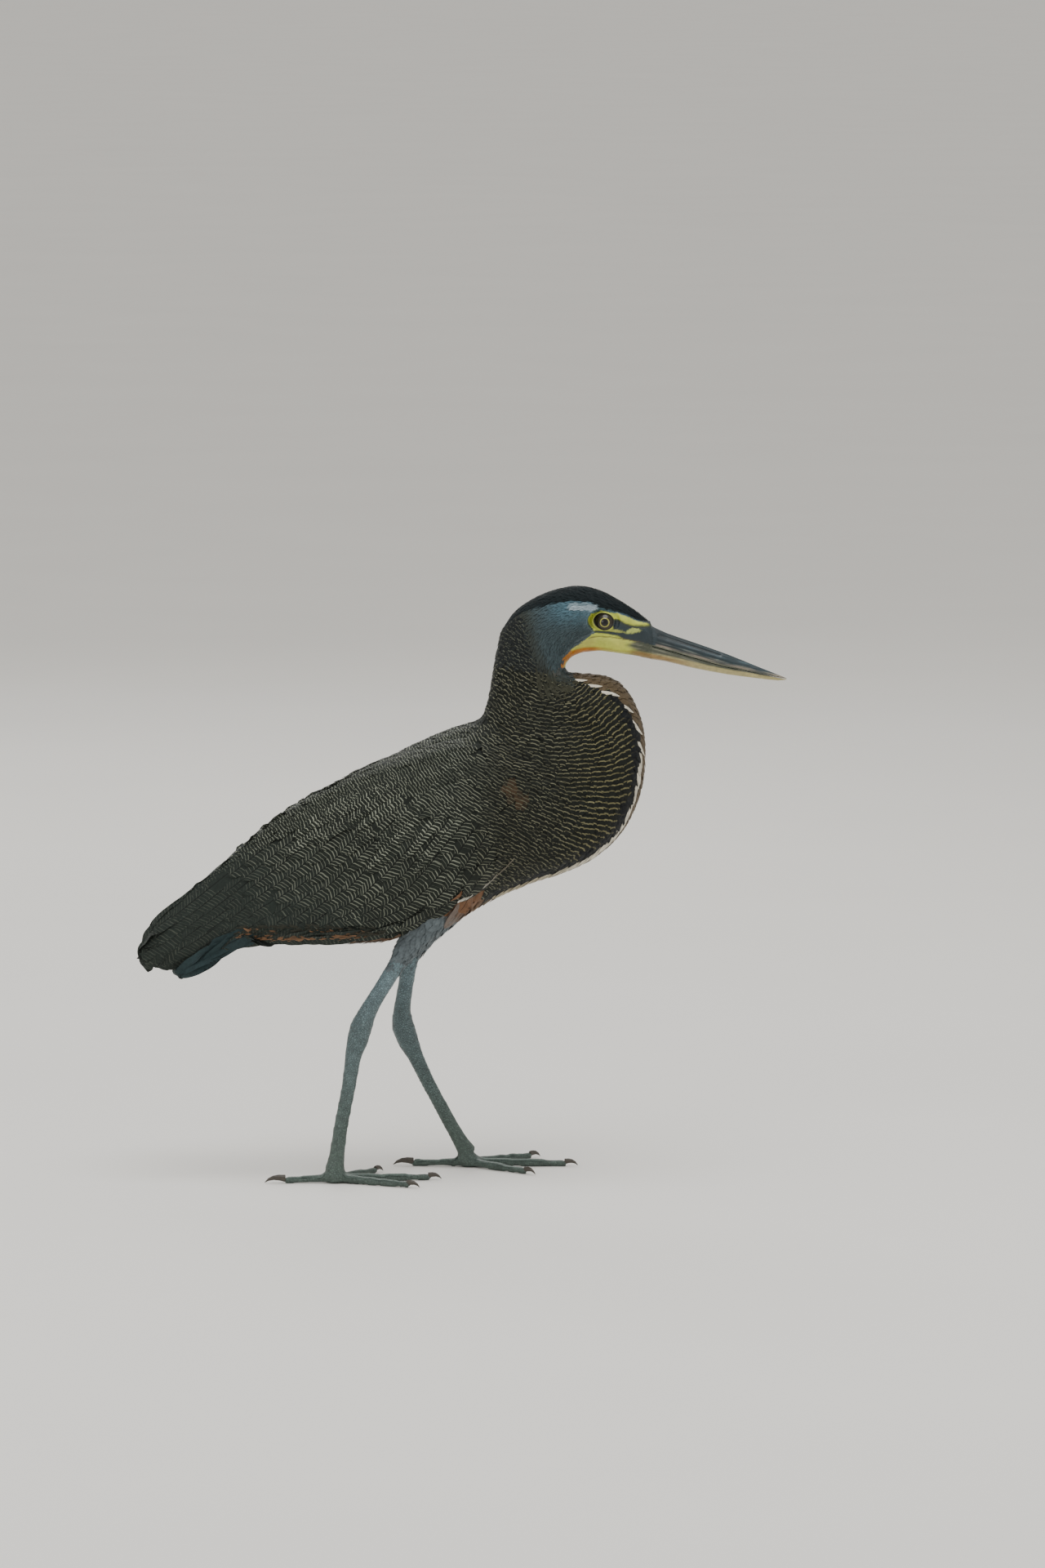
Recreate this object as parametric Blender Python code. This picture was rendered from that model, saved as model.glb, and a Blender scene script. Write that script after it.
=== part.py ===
"""A bare-throated tiger heron at life size: an adult that walks to the right, neck drawn back in its S.

The bird faces +X, its left side is +Y, and it stands on Z = 0. Flesh is lofted through stations, joined
into one body, smoothed, and then parted with thin cuts into head, neck and trunk. Horn, eyes, wings, tail,
legs, feet and claws are pieces of their own. Stations are in millimetres, in the side view unless they say
otherwise.
"""

import math

import bmesh
import bpy
from mathutils import Matrix, Vector

MM = 0.001
GAP = 0.35 * MM  # clearance between neighbouring pieces
SHARP_ANGLE = math.radians(40)
WELD = 0.004 * MM  # points nearer than this are one

# Driving sizes, in millimetres.
BILL_ROOT_X = 142.0  # where horn meets the face
EYE_CENTRE = (107.5, 9.8, 424.0)  # mirrored for the left eye
EYE_RADIUS = 8.0
STANCE_HALF_WIDTH = 36.0  # from the midline to each foot
ANKLE_HALF_WIDTH = 34.0
HIP_HALF_WIDTH = 27.0
TOE_HEIGHT = 3.3  # height of a toe's middle line above the floor
TOE_RADIUS = 3.8
CLAW_LENGTH = 10.5
HALLUX_CLAW_LENGTH = 16.0
CLAW_RADIUS = 1.9
CLAW_TIP_RADIUS = 0.35
CLAW_BEND = math.radians(62)
HALLUX_SCALE = 1.25  # the hind claw is stouter than the rest

RING = 24  # points round a body section
THIN_RING = 8  # points round a leg, toe or claw section
FLESH_VOXEL = 2.6 * MM
FLESH_TRIANGLES = 1750
FLESH_SMOOTHING = 7  # passes over the joined body

# A pad lies under the middle of each foot.
PAD_HALF_SIZES = (9.2, 8.6, 6.2)
PAD_HEIGHT = 5.2

# Each station is (upper x, upper z, lower x, lower z, half width).
TRUNK = [
    (-158, 240, -163, 190, 11),
    (-128, 276, -132, 181, 24),
    (-90, 303, -94, 178, 37),
    (-51, 324, -52, 181, 46),
    (-14, 341, -10, 193, 49),
    (14, 349, 24, 212, 49),
    (46, 347, 62, 228.5, 45),
    (74, 332, 98, 246, 34),
]
# The folded lower neck: a loop that leaves the hind neck, rounds the front and runs back under the breast.
NECK_LOOP = [
    (66, 384, 58, 330, 22),
    (92, 385, 80, 330, 25),
    (119, 378.5, 86, 328, 27),
    (135, 352, 86, 322, 29),
    (139, 322, 84, 312, 31),
    (135, 292, 80, 302, 33),
    (121, 263, 72, 296, 36),
    (97, 241.5, 62, 292, 39),
    (64, 227.5, 44, 292, 42),
]
# The neck's folded layers lie against each other here, so that its side is full.
NECK_FOLD = [
    (34, 352, 42, 268, 33),
    (66, 366, 66, 254, 34),
    (94, 362, 96, 262, 31),
    (114, 346, 114, 284, 25),
]
UPPER_NECK = [
    (28, 418, 92, 406, 18),
    (25, 402, 79, 393, 18.5),
    (22, 385, 77, 383, 19.5),
    (19, 366, 82, 364, 22),
    (14, 350, 92, 340, 29),
    (8, 330, 98, 312, 36),
]
HEAD = [
    (28, 412, 38, 396, 11),
    (37, 430, 52, 394, 16),
    (57, 444, 70, 396, 18.5),
    (82, 451.5, 86, 399, 18.7),
    (101, 449.5, 100, 401.2, 16.8),
    (120, 440, 118, 399.4, 13.5),
    (136, 429.5, 135, 396.2, 10.2),
    (150, 418.5, 149, 394, 8.2),
]
# Each bill station is (x, culmen z, z of the line where the mandibles meet, underside z, half width).
BILL = [
    (BILL_ROOT_X, 421, 406.0, 395.0, 9.0),
    (154, 415.3, 402.6, 393.3, 7.6),
    (174, 408.4, 396.8, 388.4, 6.2),
    (200, 399.2, 389.4, 383.5, 4.7),
    (222, 390.2, 384.9, 380.6, 3.1),
    (238, 383.8, 381.3, 378.9, 1.6),
    (245.5, 380.7, 380.1, 379.5, 0.5),
]
# Each wing station is (upper x, y, z, lower x, y, z, bulge of the outer face over that chord).
WING = [
    (47, 31, 302, 47, 30, 270, 5),
    (30, 30, 325, 31, 31, 240, 18),
    (0, 25, 338, 1, 33, 213, 25),
    (-40, 16, 326, -40, 34, 192, 25),
    (-82, 7, 310, -84, 32, 184, 22),
    (-118, 2.5, 291, -121, 27, 182, 17),
    (-150, 2.2, 269, -152, 21, 182, 13),
    (-182, 2.2, 241, -178, 15, 177, 9),
    (-212, 2.2, 215, -204, 11, 167, 6.5),
    (-236, 2.2, 193, -228, 9, 160, 5),
    (-248, 3, 171, -243, 7, 159.5, 2.8),
]
WING_EDGE = 0.9  # half the wing's thickness near its edges
WING_SWELL = 0.25  # share of the bulge that thickens the wing, the rest arches it
WING_TIP_STARTS = 6  # the station where the primaries leave the rest of the wing
TAIL = [
    (-118, 218, -122, 186, 21),
    (-150, 205, -152, 185, 22),
    (-180, 186, -181, 172.5, 22),
    (-204, 169, -201, 158, 21),
    (-219, 160, -215, 153, 18),
]
# Each leg station is (x, z, half depth, half width), from the feathered thigh to the foot.
THIGH = {
    "right": [(-6, 220, 19, 14), (-22, 203, 15, 13), (-38, 184, 11, 10), (-48, 170, 8.2, 7.6)],
    "left": [(0, 220, 19, 14), (-13, 201, 15, 13), (-30, 181, 11, 10), (-39, 166, 8.2, 7.6)],
}
SHANK = {
    "right": [(-49, 167.5, 6.9, 6.0), (-61, 148.5, 6.3, 5.6), (-71, 132, 7.1, 6.2), (-77, 118.5, 8.9, 7.4)],
    "left": [(-40.5, 163.5, 6.9, 6), (-44, 141.5, 6.3, 5.6), (-47, 121, 7.2, 6.2), (-46, 108.5, 9.3, 7.4)],
}
TARSUS = {
    "right": [
        (-77, 118.5, 8.9, 7.4), (-80.3, 106.5, 8.3, 6.6), (-83, 96.5, 6.6, 5.4),
        (-86.6, 72.5, 5.7, 4.8), (-92, 45.5, 5.6, 4.8), (-95.5, 21, 6.2, 5.6), (-97, 10.5, 8.0, 7.4),
    ],
    "left": [
        (-46, 108.5, 9.3, 7.4), (-41.5, 96, 8.4, 6.6), (-37, 86.5, 6.4, 5.4),
        (-27.6, 66.5, 5.5, 4.8), (-11.5, 36, 5.5, 4.8), (-2, 19, 6.2, 5.6), (3.5, 10.5, 8.0, 7.4),
    ],
}
# Toes run from the foot's middle: number, heading from +X towards +Y in degrees, length.
TOES = {
    "right": [(1, 184, 38), (2, 54, 51), (3, 9, 72), (4, -22, 60)],
    "left": [(1, 176, 43), (2, -38, 55), (3, 1, 74), (4, 38, 60)],
}
FOOT_CENTRE = {"right": (-97.0, -STANCE_HALF_WIDTH), "left": (4.0, STANCE_HALF_WIDTH)}
SIDE_SIGN = {"right": -1.0, "left": 1.0}


# ---------------------------------------------------------------- materials

def paint(name, colour, roughness):
    """A matt or glossy dielectric in linear RGB."""
    material = bpy.data.materials.new(name)
    material.use_nodes = True
    shader = material.node_tree.nodes["Principled BSDF"]
    shader.inputs["Base Color"].default_value = (*colour, 1.0)
    shader.inputs["Roughness"].default_value = roughness
    shader.inputs["Metallic"].default_value = 0.0
    return material


def palette():
    return {
        "barred_plumage": paint("barred_plumage", (0.042, 0.045, 0.030), 0.75),
        "head_plumage": paint("head_plumage", (0.035, 0.050, 0.058), 0.7),
        "wing_plumage": paint("wing_plumage", (0.040, 0.044, 0.032), 0.7),
        "tail_plumage": paint("tail_plumage", (0.024, 0.032, 0.036), 0.65),
        "thigh_plumage": paint("thigh_plumage", (0.085, 0.075, 0.062), 0.8),
        "leg_skin": paint("leg_skin", (0.085, 0.115, 0.120), 0.6),
        "bill_horn": paint("bill_horn", (0.035, 0.055, 0.065), 0.4),
        "claw_horn": paint("claw_horn", (0.030, 0.032, 0.030), 0.4),
        "eye": paint("eye", (0.060, 0.045, 0.012), 0.1),
    }


# ---------------------------------------------------------------- lofting

def catmull(before, start, end, after, t):
    """One point of the curve that runs smoothly through start and end."""
    return 0.5 * (
        2 * start + (end - before) * t + (2 * before - 5 * start + 4 * end - after) * t**2
        + (3 * start - before - 3 * end + after) * t**3
    )


def spread(stations, steps):
    """The stations with steps - 1 more between each pair, on a smooth curve through every value."""
    found = []
    last = len(stations) - 1
    for i in range(last):
        four = [stations[max(i - 1, 0)], stations[i], stations[i + 1], stations[min(i + 2, last)]]
        for k in range(steps):
            found.append(tuple(catmull(*values, k / steps) for values in zip(*four)))
    found.append(tuple(stations[last]))
    return found


def oval(upper, lower, across, outer, inner, count):
    """A ring round the chord from upper to lower, bulging outer on one side and inner on the other."""
    middle = (upper + lower) / 2
    half_chord = (upper - lower) / 2
    points = []
    for i in range(count):
        turn = 2 * math.pi * i / count
        bulge = outer if math.sin(turn) >= 0 else inner
        points.append(middle + half_chord * math.cos(turn) + across * bulge * math.sin(turn))
    return points


def rounded(ring, outward, depth, rings=3):
    """Rings that close an end in a dome of the given depth, and the point on its top."""
    middle = sum(ring, Vector()) / len(ring)
    made = []
    for i in range(1, rings):
        turn = 0.5 * math.pi * i / rings
        shift = outward * depth * math.sin(turn)
        made.append([middle + (p - middle) * math.cos(turn) + shift for p in ring])
    return made, middle + outward * depth


def skin_rings(name, rings, first_point, last_point, material):
    """A closed mesh over the rings, with a fan of triangles at each end."""
    mesh = bpy.data.meshes.new(name)
    bm = bmesh.new()
    rows = [[bm.verts.new(p) for p in ring] for ring in rings]
    count = len(rings[0])
    for row, following in zip(rows, rows[1:]):
        for i in range(count):
            j = (i + 1) % count
            bm.faces.new((row[i], row[j], following[j], following[i]))
    first = bm.verts.new(first_point)
    last = bm.verts.new(last_point)
    for i in range(count):
        j = (i + 1) % count
        bm.faces.new((rows[0][j], rows[0][i], first))
        bm.faces.new((rows[-1][i], rows[-1][j], last))
    bmesh.ops.recalc_face_normals(bm, faces=bm.faces)
    bmesh.ops.triangulate(bm, faces=bm.faces)
    bm.to_mesh(mesh)
    bm.free()
    mesh.materials.append(material)
    return link(name, mesh)


def link(name, mesh):
    made = bpy.data.objects.new(name, mesh)
    bpy.context.scene.collection.objects.link(made)
    return made


def crescent_loft(name, rings, material):
    """A solid over crescent rings, whose ends are closed by strips from the outer edge to the inner one."""
    mesh = bpy.data.meshes.new(name)
    bm = bmesh.new()
    rows = [[bm.verts.new(p) for p in ring] for ring in rings]
    count = len(rings[0])
    for row, following in zip(rows, rows[1:]):
        for i in range(count):
            j = (i + 1) % count
            bm.faces.new((row[i], row[j], following[j], following[i]))
    for row in (rows[0], rows[-1]):
        bm.faces.new((row[0], row[1], row[-1]))
        for i in range(1, count // 2 - 1):
            bm.faces.new((row[i], row[i + 1], row[-i - 1], row[-i]))
        bm.faces.new((row[count // 2 - 1], row[count // 2], row[count // 2 + 1]))
    bmesh.ops.recalc_face_normals(bm, faces=bm.faces)
    bmesh.ops.triangulate(bm, faces=bm.faces)
    bm.to_mesh(mesh)
    bm.free()
    mesh.materials.append(material)
    return link(name, mesh)


def closed_loft(name, rings, material, first_dome=0.0, last_dome=0.0):
    """A solid over the rings, whose ends are flat or, with a depth, domed."""
    centres = [sum(ring, Vector()) / len(ring) for ring in rings]
    first_out = (centres[0] - centres[1]).normalized()
    last_out = (centres[-1] - centres[-2]).normalized()
    first_point, last_point = centres[0], centres[-1]
    if first_dome:
        dome, first_point = rounded(rings[0], first_out, first_dome)
        rings = dome[::-1] + rings
    if last_dome:
        dome, last_point = rounded(rings[-1], last_out, last_dome)
        rings = rings + dome
    return skin_rings(name, rings, first_point, last_point, material)


def body_loft(name, stations, material, first_dome, last_dome, steps=3, count=RING):
    """A midline body: each station is an upper and a lower point of the outline and a half width."""
    rings = []
    for ux, uz, lx, lz, half in spread(stations, steps):
        upper, lower = Vector((ux, 0, uz)) * MM, Vector((lx, 0, lz)) * MM
        rings.append(oval(upper, lower, Vector((0, 1, 0)), half * MM, half * MM, count))
    return closed_loft(name, rings, material, first_dome * MM, last_dome * MM)


# ---------------------------------------------------------------- solid operations

def evaluated_copy(made):
    """Applies the object's modifiers to its own mesh."""
    graph = bpy.context.evaluated_depsgraph_get()
    graph.update()
    mesh = bpy.data.meshes.new_from_object(made.evaluated_get(graph))
    made.modifiers.clear()
    old = made.data
    made.data = mesh
    bpy.data.meshes.remove(old)
    return made


def boolean(made, other, operation):
    modifier = made.modifiers.new(operation.lower(), "BOOLEAN")
    modifier.operation = operation
    modifier.object = other
    modifier.solver = "EXACT"
    evaluated_copy(made)
    bm = bmesh.new()
    bm.from_mesh(made.data)
    bmesh.ops.remove_doubles(bm, verts=bm.verts, dist=WELD)
    bmesh.ops.dissolve_degenerate(bm, edges=bm.edges, dist=WELD)
    bm.to_mesh(made.data)
    bm.free()
    return made


def discard(*objects):
    for made in objects:
        bpy.data.objects.remove(made)


def twin(made, name):
    copied = link(name, made.data.copy())
    copied.matrix_world = made.matrix_world.copy()
    return copied


def grown(made, by=GAP):
    """A copy whose surface stands off from the original's, to cut a seat with clearance."""
    copied = twin(made, made.name + "_grown")
    bm = bmesh.new()
    bm.from_mesh(copied.data)
    bm.normal_update()
    moved = [(v, v.co + v.normal * by) for v in bm.verts]
    for v, place in moved:
        v.co = place
    bm.to_mesh(copied.data)
    bm.free()
    return copied


def cut_seats(made, *others):
    """Takes each neighbour, with clearance, out of the piece."""
    for other in others:
        cutter = grown(other)
        boolean(made, cutter, "DIFFERENCE")
        discard(cutter)
    return keep_largest(made)


def keep_largest(made):
    """Removes every loose sliver, so that one closed body is left."""
    bm = bmesh.new()
    bm.from_mesh(made.data)
    left = set(bm.verts)
    islands = []
    while left:
        waiting = [left.pop()]
        island = set(waiting)
        while waiting:
            for edge in waiting.pop().link_edges:
                for v in edge.verts:
                    if v not in island:
                        island.add(v)
                        left.discard(v)
                        waiting.append(v)
        islands.append(island)
    islands.sort(key=len)
    small = [v for island in islands[:-1] for v in island]
    bmesh.ops.delete(bm, geom=small, context="VERTS")
    bm.to_mesh(made.data)
    bm.free()
    return made


def half_space(point, normal, reach=0.6):
    """A large box whose face goes through the point and that lies on the side of the normal."""
    mesh = bpy.data.meshes.new("half_space")
    bm = bmesh.new()
    bmesh.ops.create_cube(bm, size=2 * reach)
    bmesh.ops.translate(bm, verts=bm.verts, vec=(0, 0, reach))
    bm.to_mesh(mesh)
    bm.free()
    box = link("half_space", mesh)
    box.matrix_world = Matrix.Translation(point) @ normal.to_track_quat("Z", "Y").to_matrix().to_4x4()
    bpy.context.view_layer.update()
    return box


def keep_side(made, point, normal):
    """Keeps what lies on the normal's side of a plane, half a gap away from it."""
    unit = normal.normalized()
    box = half_space(point + unit * GAP / 2, unit)
    boolean(made, box, "INTERSECT")
    discard(box)
    return made


def part_at(made, name, point, normal):
    """Parts the object at a plane: what is on the normal's side becomes a new object."""
    ahead = twin(made, name)
    keep_side(ahead, point, normal)
    keep_side(made, point, -normal)
    return ahead


# ---------------------------------------------------------------- flesh

def flesh(paints):
    """Head, neck and trunk as one smooth body."""
    body = body_loft("trunk", TRUNK, paints["barred_plumage"], 10, 14)
    for name, stations, first_dome, last_dome in (
        ("neck_loop", NECK_LOOP, 10, 14),
        ("neck_fold", NECK_FOLD, 10, 12),
        ("upper_neck", UPPER_NECK, 4, 8),
        ("head_form", HEAD, 5, 2),
    ):
        more = body_loft(name, stations, paints["barred_plumage"], first_dome, last_dome)
        boolean(body, more, "UNION")
        discard(more)
    remesh = body.modifiers.new("remesh", "REMESH")
    remesh.mode = "VOXEL"
    remesh.voxel_size = FLESH_VOXEL
    smooth = body.modifiers.new("smooth", "SMOOTH")
    smooth.factor = 0.5
    smooth.iterations = FLESH_SMOOTHING
    evaluated_copy(body)
    triangles = 2 * len(body.data.polygons)
    decimate = body.modifiers.new("decimate", "DECIMATE")
    decimate.ratio = FLESH_TRIANGLES / triangles
    return evaluated_copy(body)


def part_flesh(body, paints):
    """Parts the body at the bill root, below the head, at the neck's fold and where the trunk begins."""
    keep_side(body, Vector((BILL_ROOT_X, 0, 410)) * MM, Vector((-1, 0, 0)))
    head = part_at(body, "head", Vector((52, 0, 389)) * MM, Vector((0.1, 0, 1)))
    neck = part_at(body, "neck_lower", Vector((44, 0, 290)) * MM, Vector((0.92, 0, 0.4)))
    part_at(neck, "neck_upper", Vector((50, 0, 344)) * MM, Vector((-0.35, 0, 1)))
    head.data.materials.clear()
    head.data.materials.append(paints["head_plumage"])


# ---------------------------------------------------------------- head pieces

def eye(side, paints):
    x, y, z = EYE_CENTRE
    mesh = bpy.data.meshes.new("eye_" + side)
    bm = bmesh.new()
    bmesh.ops.create_uvsphere(bm, u_segments=12, v_segments=7, radius=EYE_RADIUS * MM)
    bmesh.ops.rotate(bm, verts=bm.verts, matrix=Matrix.Rotation(math.pi / 2, 3, "X"))
    bmesh.ops.translate(bm, verts=bm.verts, vec=Vector((x, y * SIDE_SIGN[side], z)) * MM)
    bm.to_mesh(mesh)
    bm.free()
    mesh.materials.append(paints["eye"])
    return link("eye_" + side, mesh)


def mandible(name, upper_half, paints):
    """Half of the bill: a D-shaped loft with its flat side on the line where the mandibles meet."""
    rings = []
    arc = 6
    for x, culmen, gape, keel, half in spread(BILL, 2):
        ridge = culmen if upper_half else keel
        away = 1 if upper_half else -1
        flat = gape + away * GAP / MM / 2
        points = []
        for i in range(arc + 1):
            turn = math.pi * i / arc
            height = flat + (ridge - flat) * math.sin(turn)
            width = half * math.cos(turn) * (0.82 + 0.18 * abs(math.cos(turn)))
            points.append(Vector((x, width, height)) * MM)
        for i in range(1, 4):
            points.append(Vector((x, half * (2 * i / 4 - 1), flat)) * MM)
        rings.append(points)
    for p in rings[0]:
        p.x += GAP / 2
    return closed_loft(name, rings, paints["bill_horn"])


# ---------------------------------------------------------------- wings and tail

def wing_rings(side):
    """Crescent sections that hug the flank, from the bend of the wing to the tips of the primaries."""
    sign = SIDE_SIGN[side]
    count = 16
    rows = []
    for ux, uy, uz, lx, ly, lz, bulge in spread(WING, 2):
        upper = Vector((ux, uy * sign, uz)) * MM
        lower = Vector((lx, ly * sign, lz)) * MM
        ring = []
        for i in range(count):
            turn = 2 * math.pi * i / count
            arch = abs(math.sin(turn))
            half_thick = (WING_EDGE + WING_SWELL * bulge) * arch**0.6
            away = (1 - WING_SWELL) * bulge * arch + math.copysign(half_thick, math.sin(turn))
            on_chord = (upper + lower) / 2 + (upper - lower) / 2 * math.cos(turn)
            ring.append(on_chord + Vector((0, sign * away * MM, 0)))
        rows.append(ring)
    return rows


def wing(side, paints):
    rows = wing_rings(side)
    split = WING_TIP_STARTS * 2
    arm = crescent_loft("wing_" + side, rows[: split + 1], paints["wing_plumage"])
    rows[split] = [p + Vector((-GAP, 0, 0)) for p in rows[split]]
    tip = crescent_loft("primaries_" + side, rows[split:], paints["tail_plumage"])
    return arm, tip


# ---------------------------------------------------------------- legs and feet

def leg_rings(stations, side, inner_y, outer_y):
    """Oval sections square to a leg's middle line, which leans out from inner_y to outer_y."""
    rows = spread(stations, 2)
    sign = SIDE_SIGN[side]
    last = len(rows) - 1
    centres = []
    for i, (x, z, _, _) in enumerate(rows):
        y = inner_y + (outer_y - inner_y) * i / last
        centres.append(Vector((x, sign * y, z)) * MM)
    rings = []
    for i, (_, _, depth, width) in enumerate(rows):
        along = (centres[min(i + 1, last)] - centres[max(i - 1, 0)]).normalized()
        forward = Vector((0, 1, 0)).cross(along).normalized() * depth * MM
        rings.append(oval(centres[i] + forward, centres[i] - forward, Vector((0, 1, 0)),
                          width * MM, width * MM, THIN_RING))
    return rings


def leg(side, paints, body):
    """Feathered thigh, bare shank down to the ankle, and tarsus."""
    mid_y = (HIP_HALF_WIDTH + ANKLE_HALF_WIDTH) / 2
    thigh = closed_loft("thigh_" + side, leg_rings(THIGH[side], side, HIP_HALF_WIDTH, mid_y),
                        paints["thigh_plumage"], first_dome=8 * MM)
    cut_seats(thigh, body)
    shank_rings = leg_rings(SHANK[side], side, mid_y, ANKLE_HALF_WIDTH)
    tarsus_rings = leg_rings(TARSUS[side], side, ANKLE_HALF_WIDTH, STANCE_HALF_WIDTH)
    ankle = [(a + b) / 2 for a, b in zip(shank_rings[-1], tarsus_rings[0])]
    fall = (sum(tarsus_rings[1], Vector()) - sum(ankle, Vector())).normalized()
    shank_rings[-1] = ankle
    tarsus_rings[0] = [p + fall * GAP for p in ankle]
    shank = closed_loft("shank_" + side, shank_rings, paints["leg_skin"], first_dome=5 * MM)
    tarsus = closed_loft("tarsus_" + side, tarsus_rings, paints["leg_skin"])
    cut_seats(thigh, shank)
    return thigh, shank, tarsus


def toe_point(side, heading, distance, height):
    x, y = FOOT_CENTRE[side]
    turn = math.radians(heading)
    return Vector((x + distance * math.cos(turn), y + distance * math.sin(turn), height)) * MM


def toe(side, number, heading, length, paints):
    """One toe with swellings at its joints. It runs from the foot's middle to where its claw begins."""
    turn = math.radians(heading)
    across = Vector((-math.sin(turn), math.cos(turn), 0))
    joints = number  # the first toe bends at one joint, the fourth at four
    rings = []
    steps = 2 * joints + 2
    for i in range(steps + 1):
        t = i / steps
        taper = 1 - 0.24 * t
        swelling = 1 + 0.10 * math.cos(2 * math.pi * joints * t)
        radius = TOE_RADIUS * taper * swelling
        middle = toe_point(side, heading, length * t, TOE_HEIGHT * (1 - 0.22 * t) + 1.2 * (1 - t) ** 4)
        rings.append(oval(middle + Vector((0, 0, radius * MM)), middle - Vector((0, 0, radius * MM)),
                          across, radius * 0.92 * MM, radius * 0.92 * MM, THIN_RING))
    return closed_loft(f"toe_{side}_{number}", rings, paints["leg_skin"], last_dome=2.2 * MM)


def claw(side, number, heading, length, paints):
    """A claw that leaves the toe's end and curves down to the floor."""
    turn = math.radians(heading)
    across = Vector((-math.sin(turn), math.cos(turn), 0))
    size = HALLUX_SCALE if number == 1 else 1.0
    reach_out = HALLUX_CLAW_LENGTH if number == 1 else CLAW_LENGTH
    rings = []
    steps = 5
    for i in range(steps):
        t = i / (steps - 1)
        radius = CLAW_RADIUS * size * (1 - t) ** 0.75 + CLAW_TIP_RADIUS
        reach = length - 0.6 + reach_out * math.sin(CLAW_BEND * t) / math.sin(CLAW_BEND)
        height = 3.5 + 1.1 * size * math.sin(math.pi * t) - 2.75 * t**2
        middle = toe_point(side, heading, reach, height)
        up = Vector((0, 0, 1))
        rings.append(oval(middle + up * radius * MM * 1.15, middle - up * radius * MM,
                          across, radius * 0.8 * MM, radius * 0.8 * MM, 6))
    return closed_loft(f"claw_{side}_{number}", rings, paints["claw_horn"])


def foot(side, paints, tarsus):
    """Four toes joined at a pad, cut flat where they stand, with a seat for the tarsus and each claw."""
    x, y = FOOT_CENTRE[side]
    mesh = bpy.data.meshes.new("foot_" + side)
    bm = bmesh.new()
    bmesh.ops.create_uvsphere(bm, u_segments=12, v_segments=6, radius=1.0)
    bmesh.ops.scale(bm, verts=bm.verts, vec=Vector(PAD_HALF_SIZES) * MM)
    bmesh.ops.translate(bm, verts=bm.verts, vec=Vector((x, y, PAD_HEIGHT)) * MM)
    bm.to_mesh(mesh)
    bm.free()
    mesh.materials.append(paints["leg_skin"])
    made = link("foot_" + side, mesh)
    claws = []
    for number, heading, length in TOES[side]:
        one = toe(side, number, heading, length, paints)
        boolean(made, one, "UNION")
        discard(one)
        claws.append(claw(side, number, heading, length, paints))
    keep_side(made, Vector((0, 0, -GAP / 2)), Vector((0, 0, 1)))
    cut_seats(made, tarsus, *claws)
    return made


# ---------------------------------------------------------------- the whole bird

def centre_on_floor():
    """Puts the middle of the bird's box over the origin, with its feet on the floor. Shades it smooth."""
    bpy.context.view_layer.update()
    corners = [o.matrix_world @ v.co for o in bpy.data.objects if o.type == "MESH" for v in o.data.vertices]
    low = Vector([min(c[i] for c in corners) for i in range(3)])
    high = Vector([max(c[i] for c in corners) for i in range(3)])
    shift = Vector((-(low.x + high.x) / 2, -(low.y + high.y) / 2, -low.z))
    for made in bpy.data.objects:
        if made.type == "MESH":
            made.data.transform(Matrix.Translation(shift))
            made.data.shade_smooth()
            made.data.set_sharp_from_angle(angle=SHARP_ANGLE)


def build():
    paints = palette()
    body = flesh(paints)
    tail = body_loft("tail", TAIL, paints["tail_plumage"], 4, 2, steps=1, count=14)
    cut_seats(tail, body)
    legs = {side: leg(side, paints, body) for side in SIDE_SIGN}
    for side, (thigh, _, tarsus) in legs.items():
        folded = wing(side, paints)
        cut_seats(body, *folded)
        cut_seats(tail, *folded)
        cut_seats(thigh, *folded)
        foot(side, paints, tarsus)
    cut_seats(body, *[eye(side, paints) for side in SIDE_SIGN])
    part_flesh(body, paints)
    mandible("bill_upper", True, paints)
    mandible("bill_lower", False, paints)
    centre_on_floor()


for old in list(bpy.data.objects):
    bpy.data.objects.remove(old)
build()
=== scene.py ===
from itertools import product
from math import cos, pi, radians, sin, tau

import bpy
import numpy as np
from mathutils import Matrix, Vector
from mathutils.bvhtree import BVHTree


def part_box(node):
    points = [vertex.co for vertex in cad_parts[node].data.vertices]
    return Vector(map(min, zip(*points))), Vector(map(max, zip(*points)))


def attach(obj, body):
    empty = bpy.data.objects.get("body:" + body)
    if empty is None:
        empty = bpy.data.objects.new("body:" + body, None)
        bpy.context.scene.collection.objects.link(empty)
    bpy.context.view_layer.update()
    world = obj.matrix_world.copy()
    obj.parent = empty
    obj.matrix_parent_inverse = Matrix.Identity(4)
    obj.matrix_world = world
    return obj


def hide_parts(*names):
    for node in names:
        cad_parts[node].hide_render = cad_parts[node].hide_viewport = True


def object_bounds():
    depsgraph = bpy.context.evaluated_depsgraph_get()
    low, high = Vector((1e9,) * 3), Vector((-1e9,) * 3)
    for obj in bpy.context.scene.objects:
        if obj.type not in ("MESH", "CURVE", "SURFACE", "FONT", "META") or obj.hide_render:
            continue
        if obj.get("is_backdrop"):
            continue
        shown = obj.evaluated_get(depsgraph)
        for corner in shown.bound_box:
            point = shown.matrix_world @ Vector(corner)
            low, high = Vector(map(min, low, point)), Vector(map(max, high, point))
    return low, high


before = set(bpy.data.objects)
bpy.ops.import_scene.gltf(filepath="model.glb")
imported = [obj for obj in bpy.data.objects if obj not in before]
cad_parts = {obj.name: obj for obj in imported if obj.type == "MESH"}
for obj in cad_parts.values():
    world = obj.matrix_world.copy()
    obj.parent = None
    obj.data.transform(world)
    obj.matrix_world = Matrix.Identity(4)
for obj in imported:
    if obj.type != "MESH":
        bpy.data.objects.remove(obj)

cad_box = [list(corner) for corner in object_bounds()]

# ---------------------------------------------------------------------------
# Camera, floor and light
# The bird is seen square on to its right side from a little above its back.
# It stands on a plain pale floor under large soft lamps.

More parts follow.
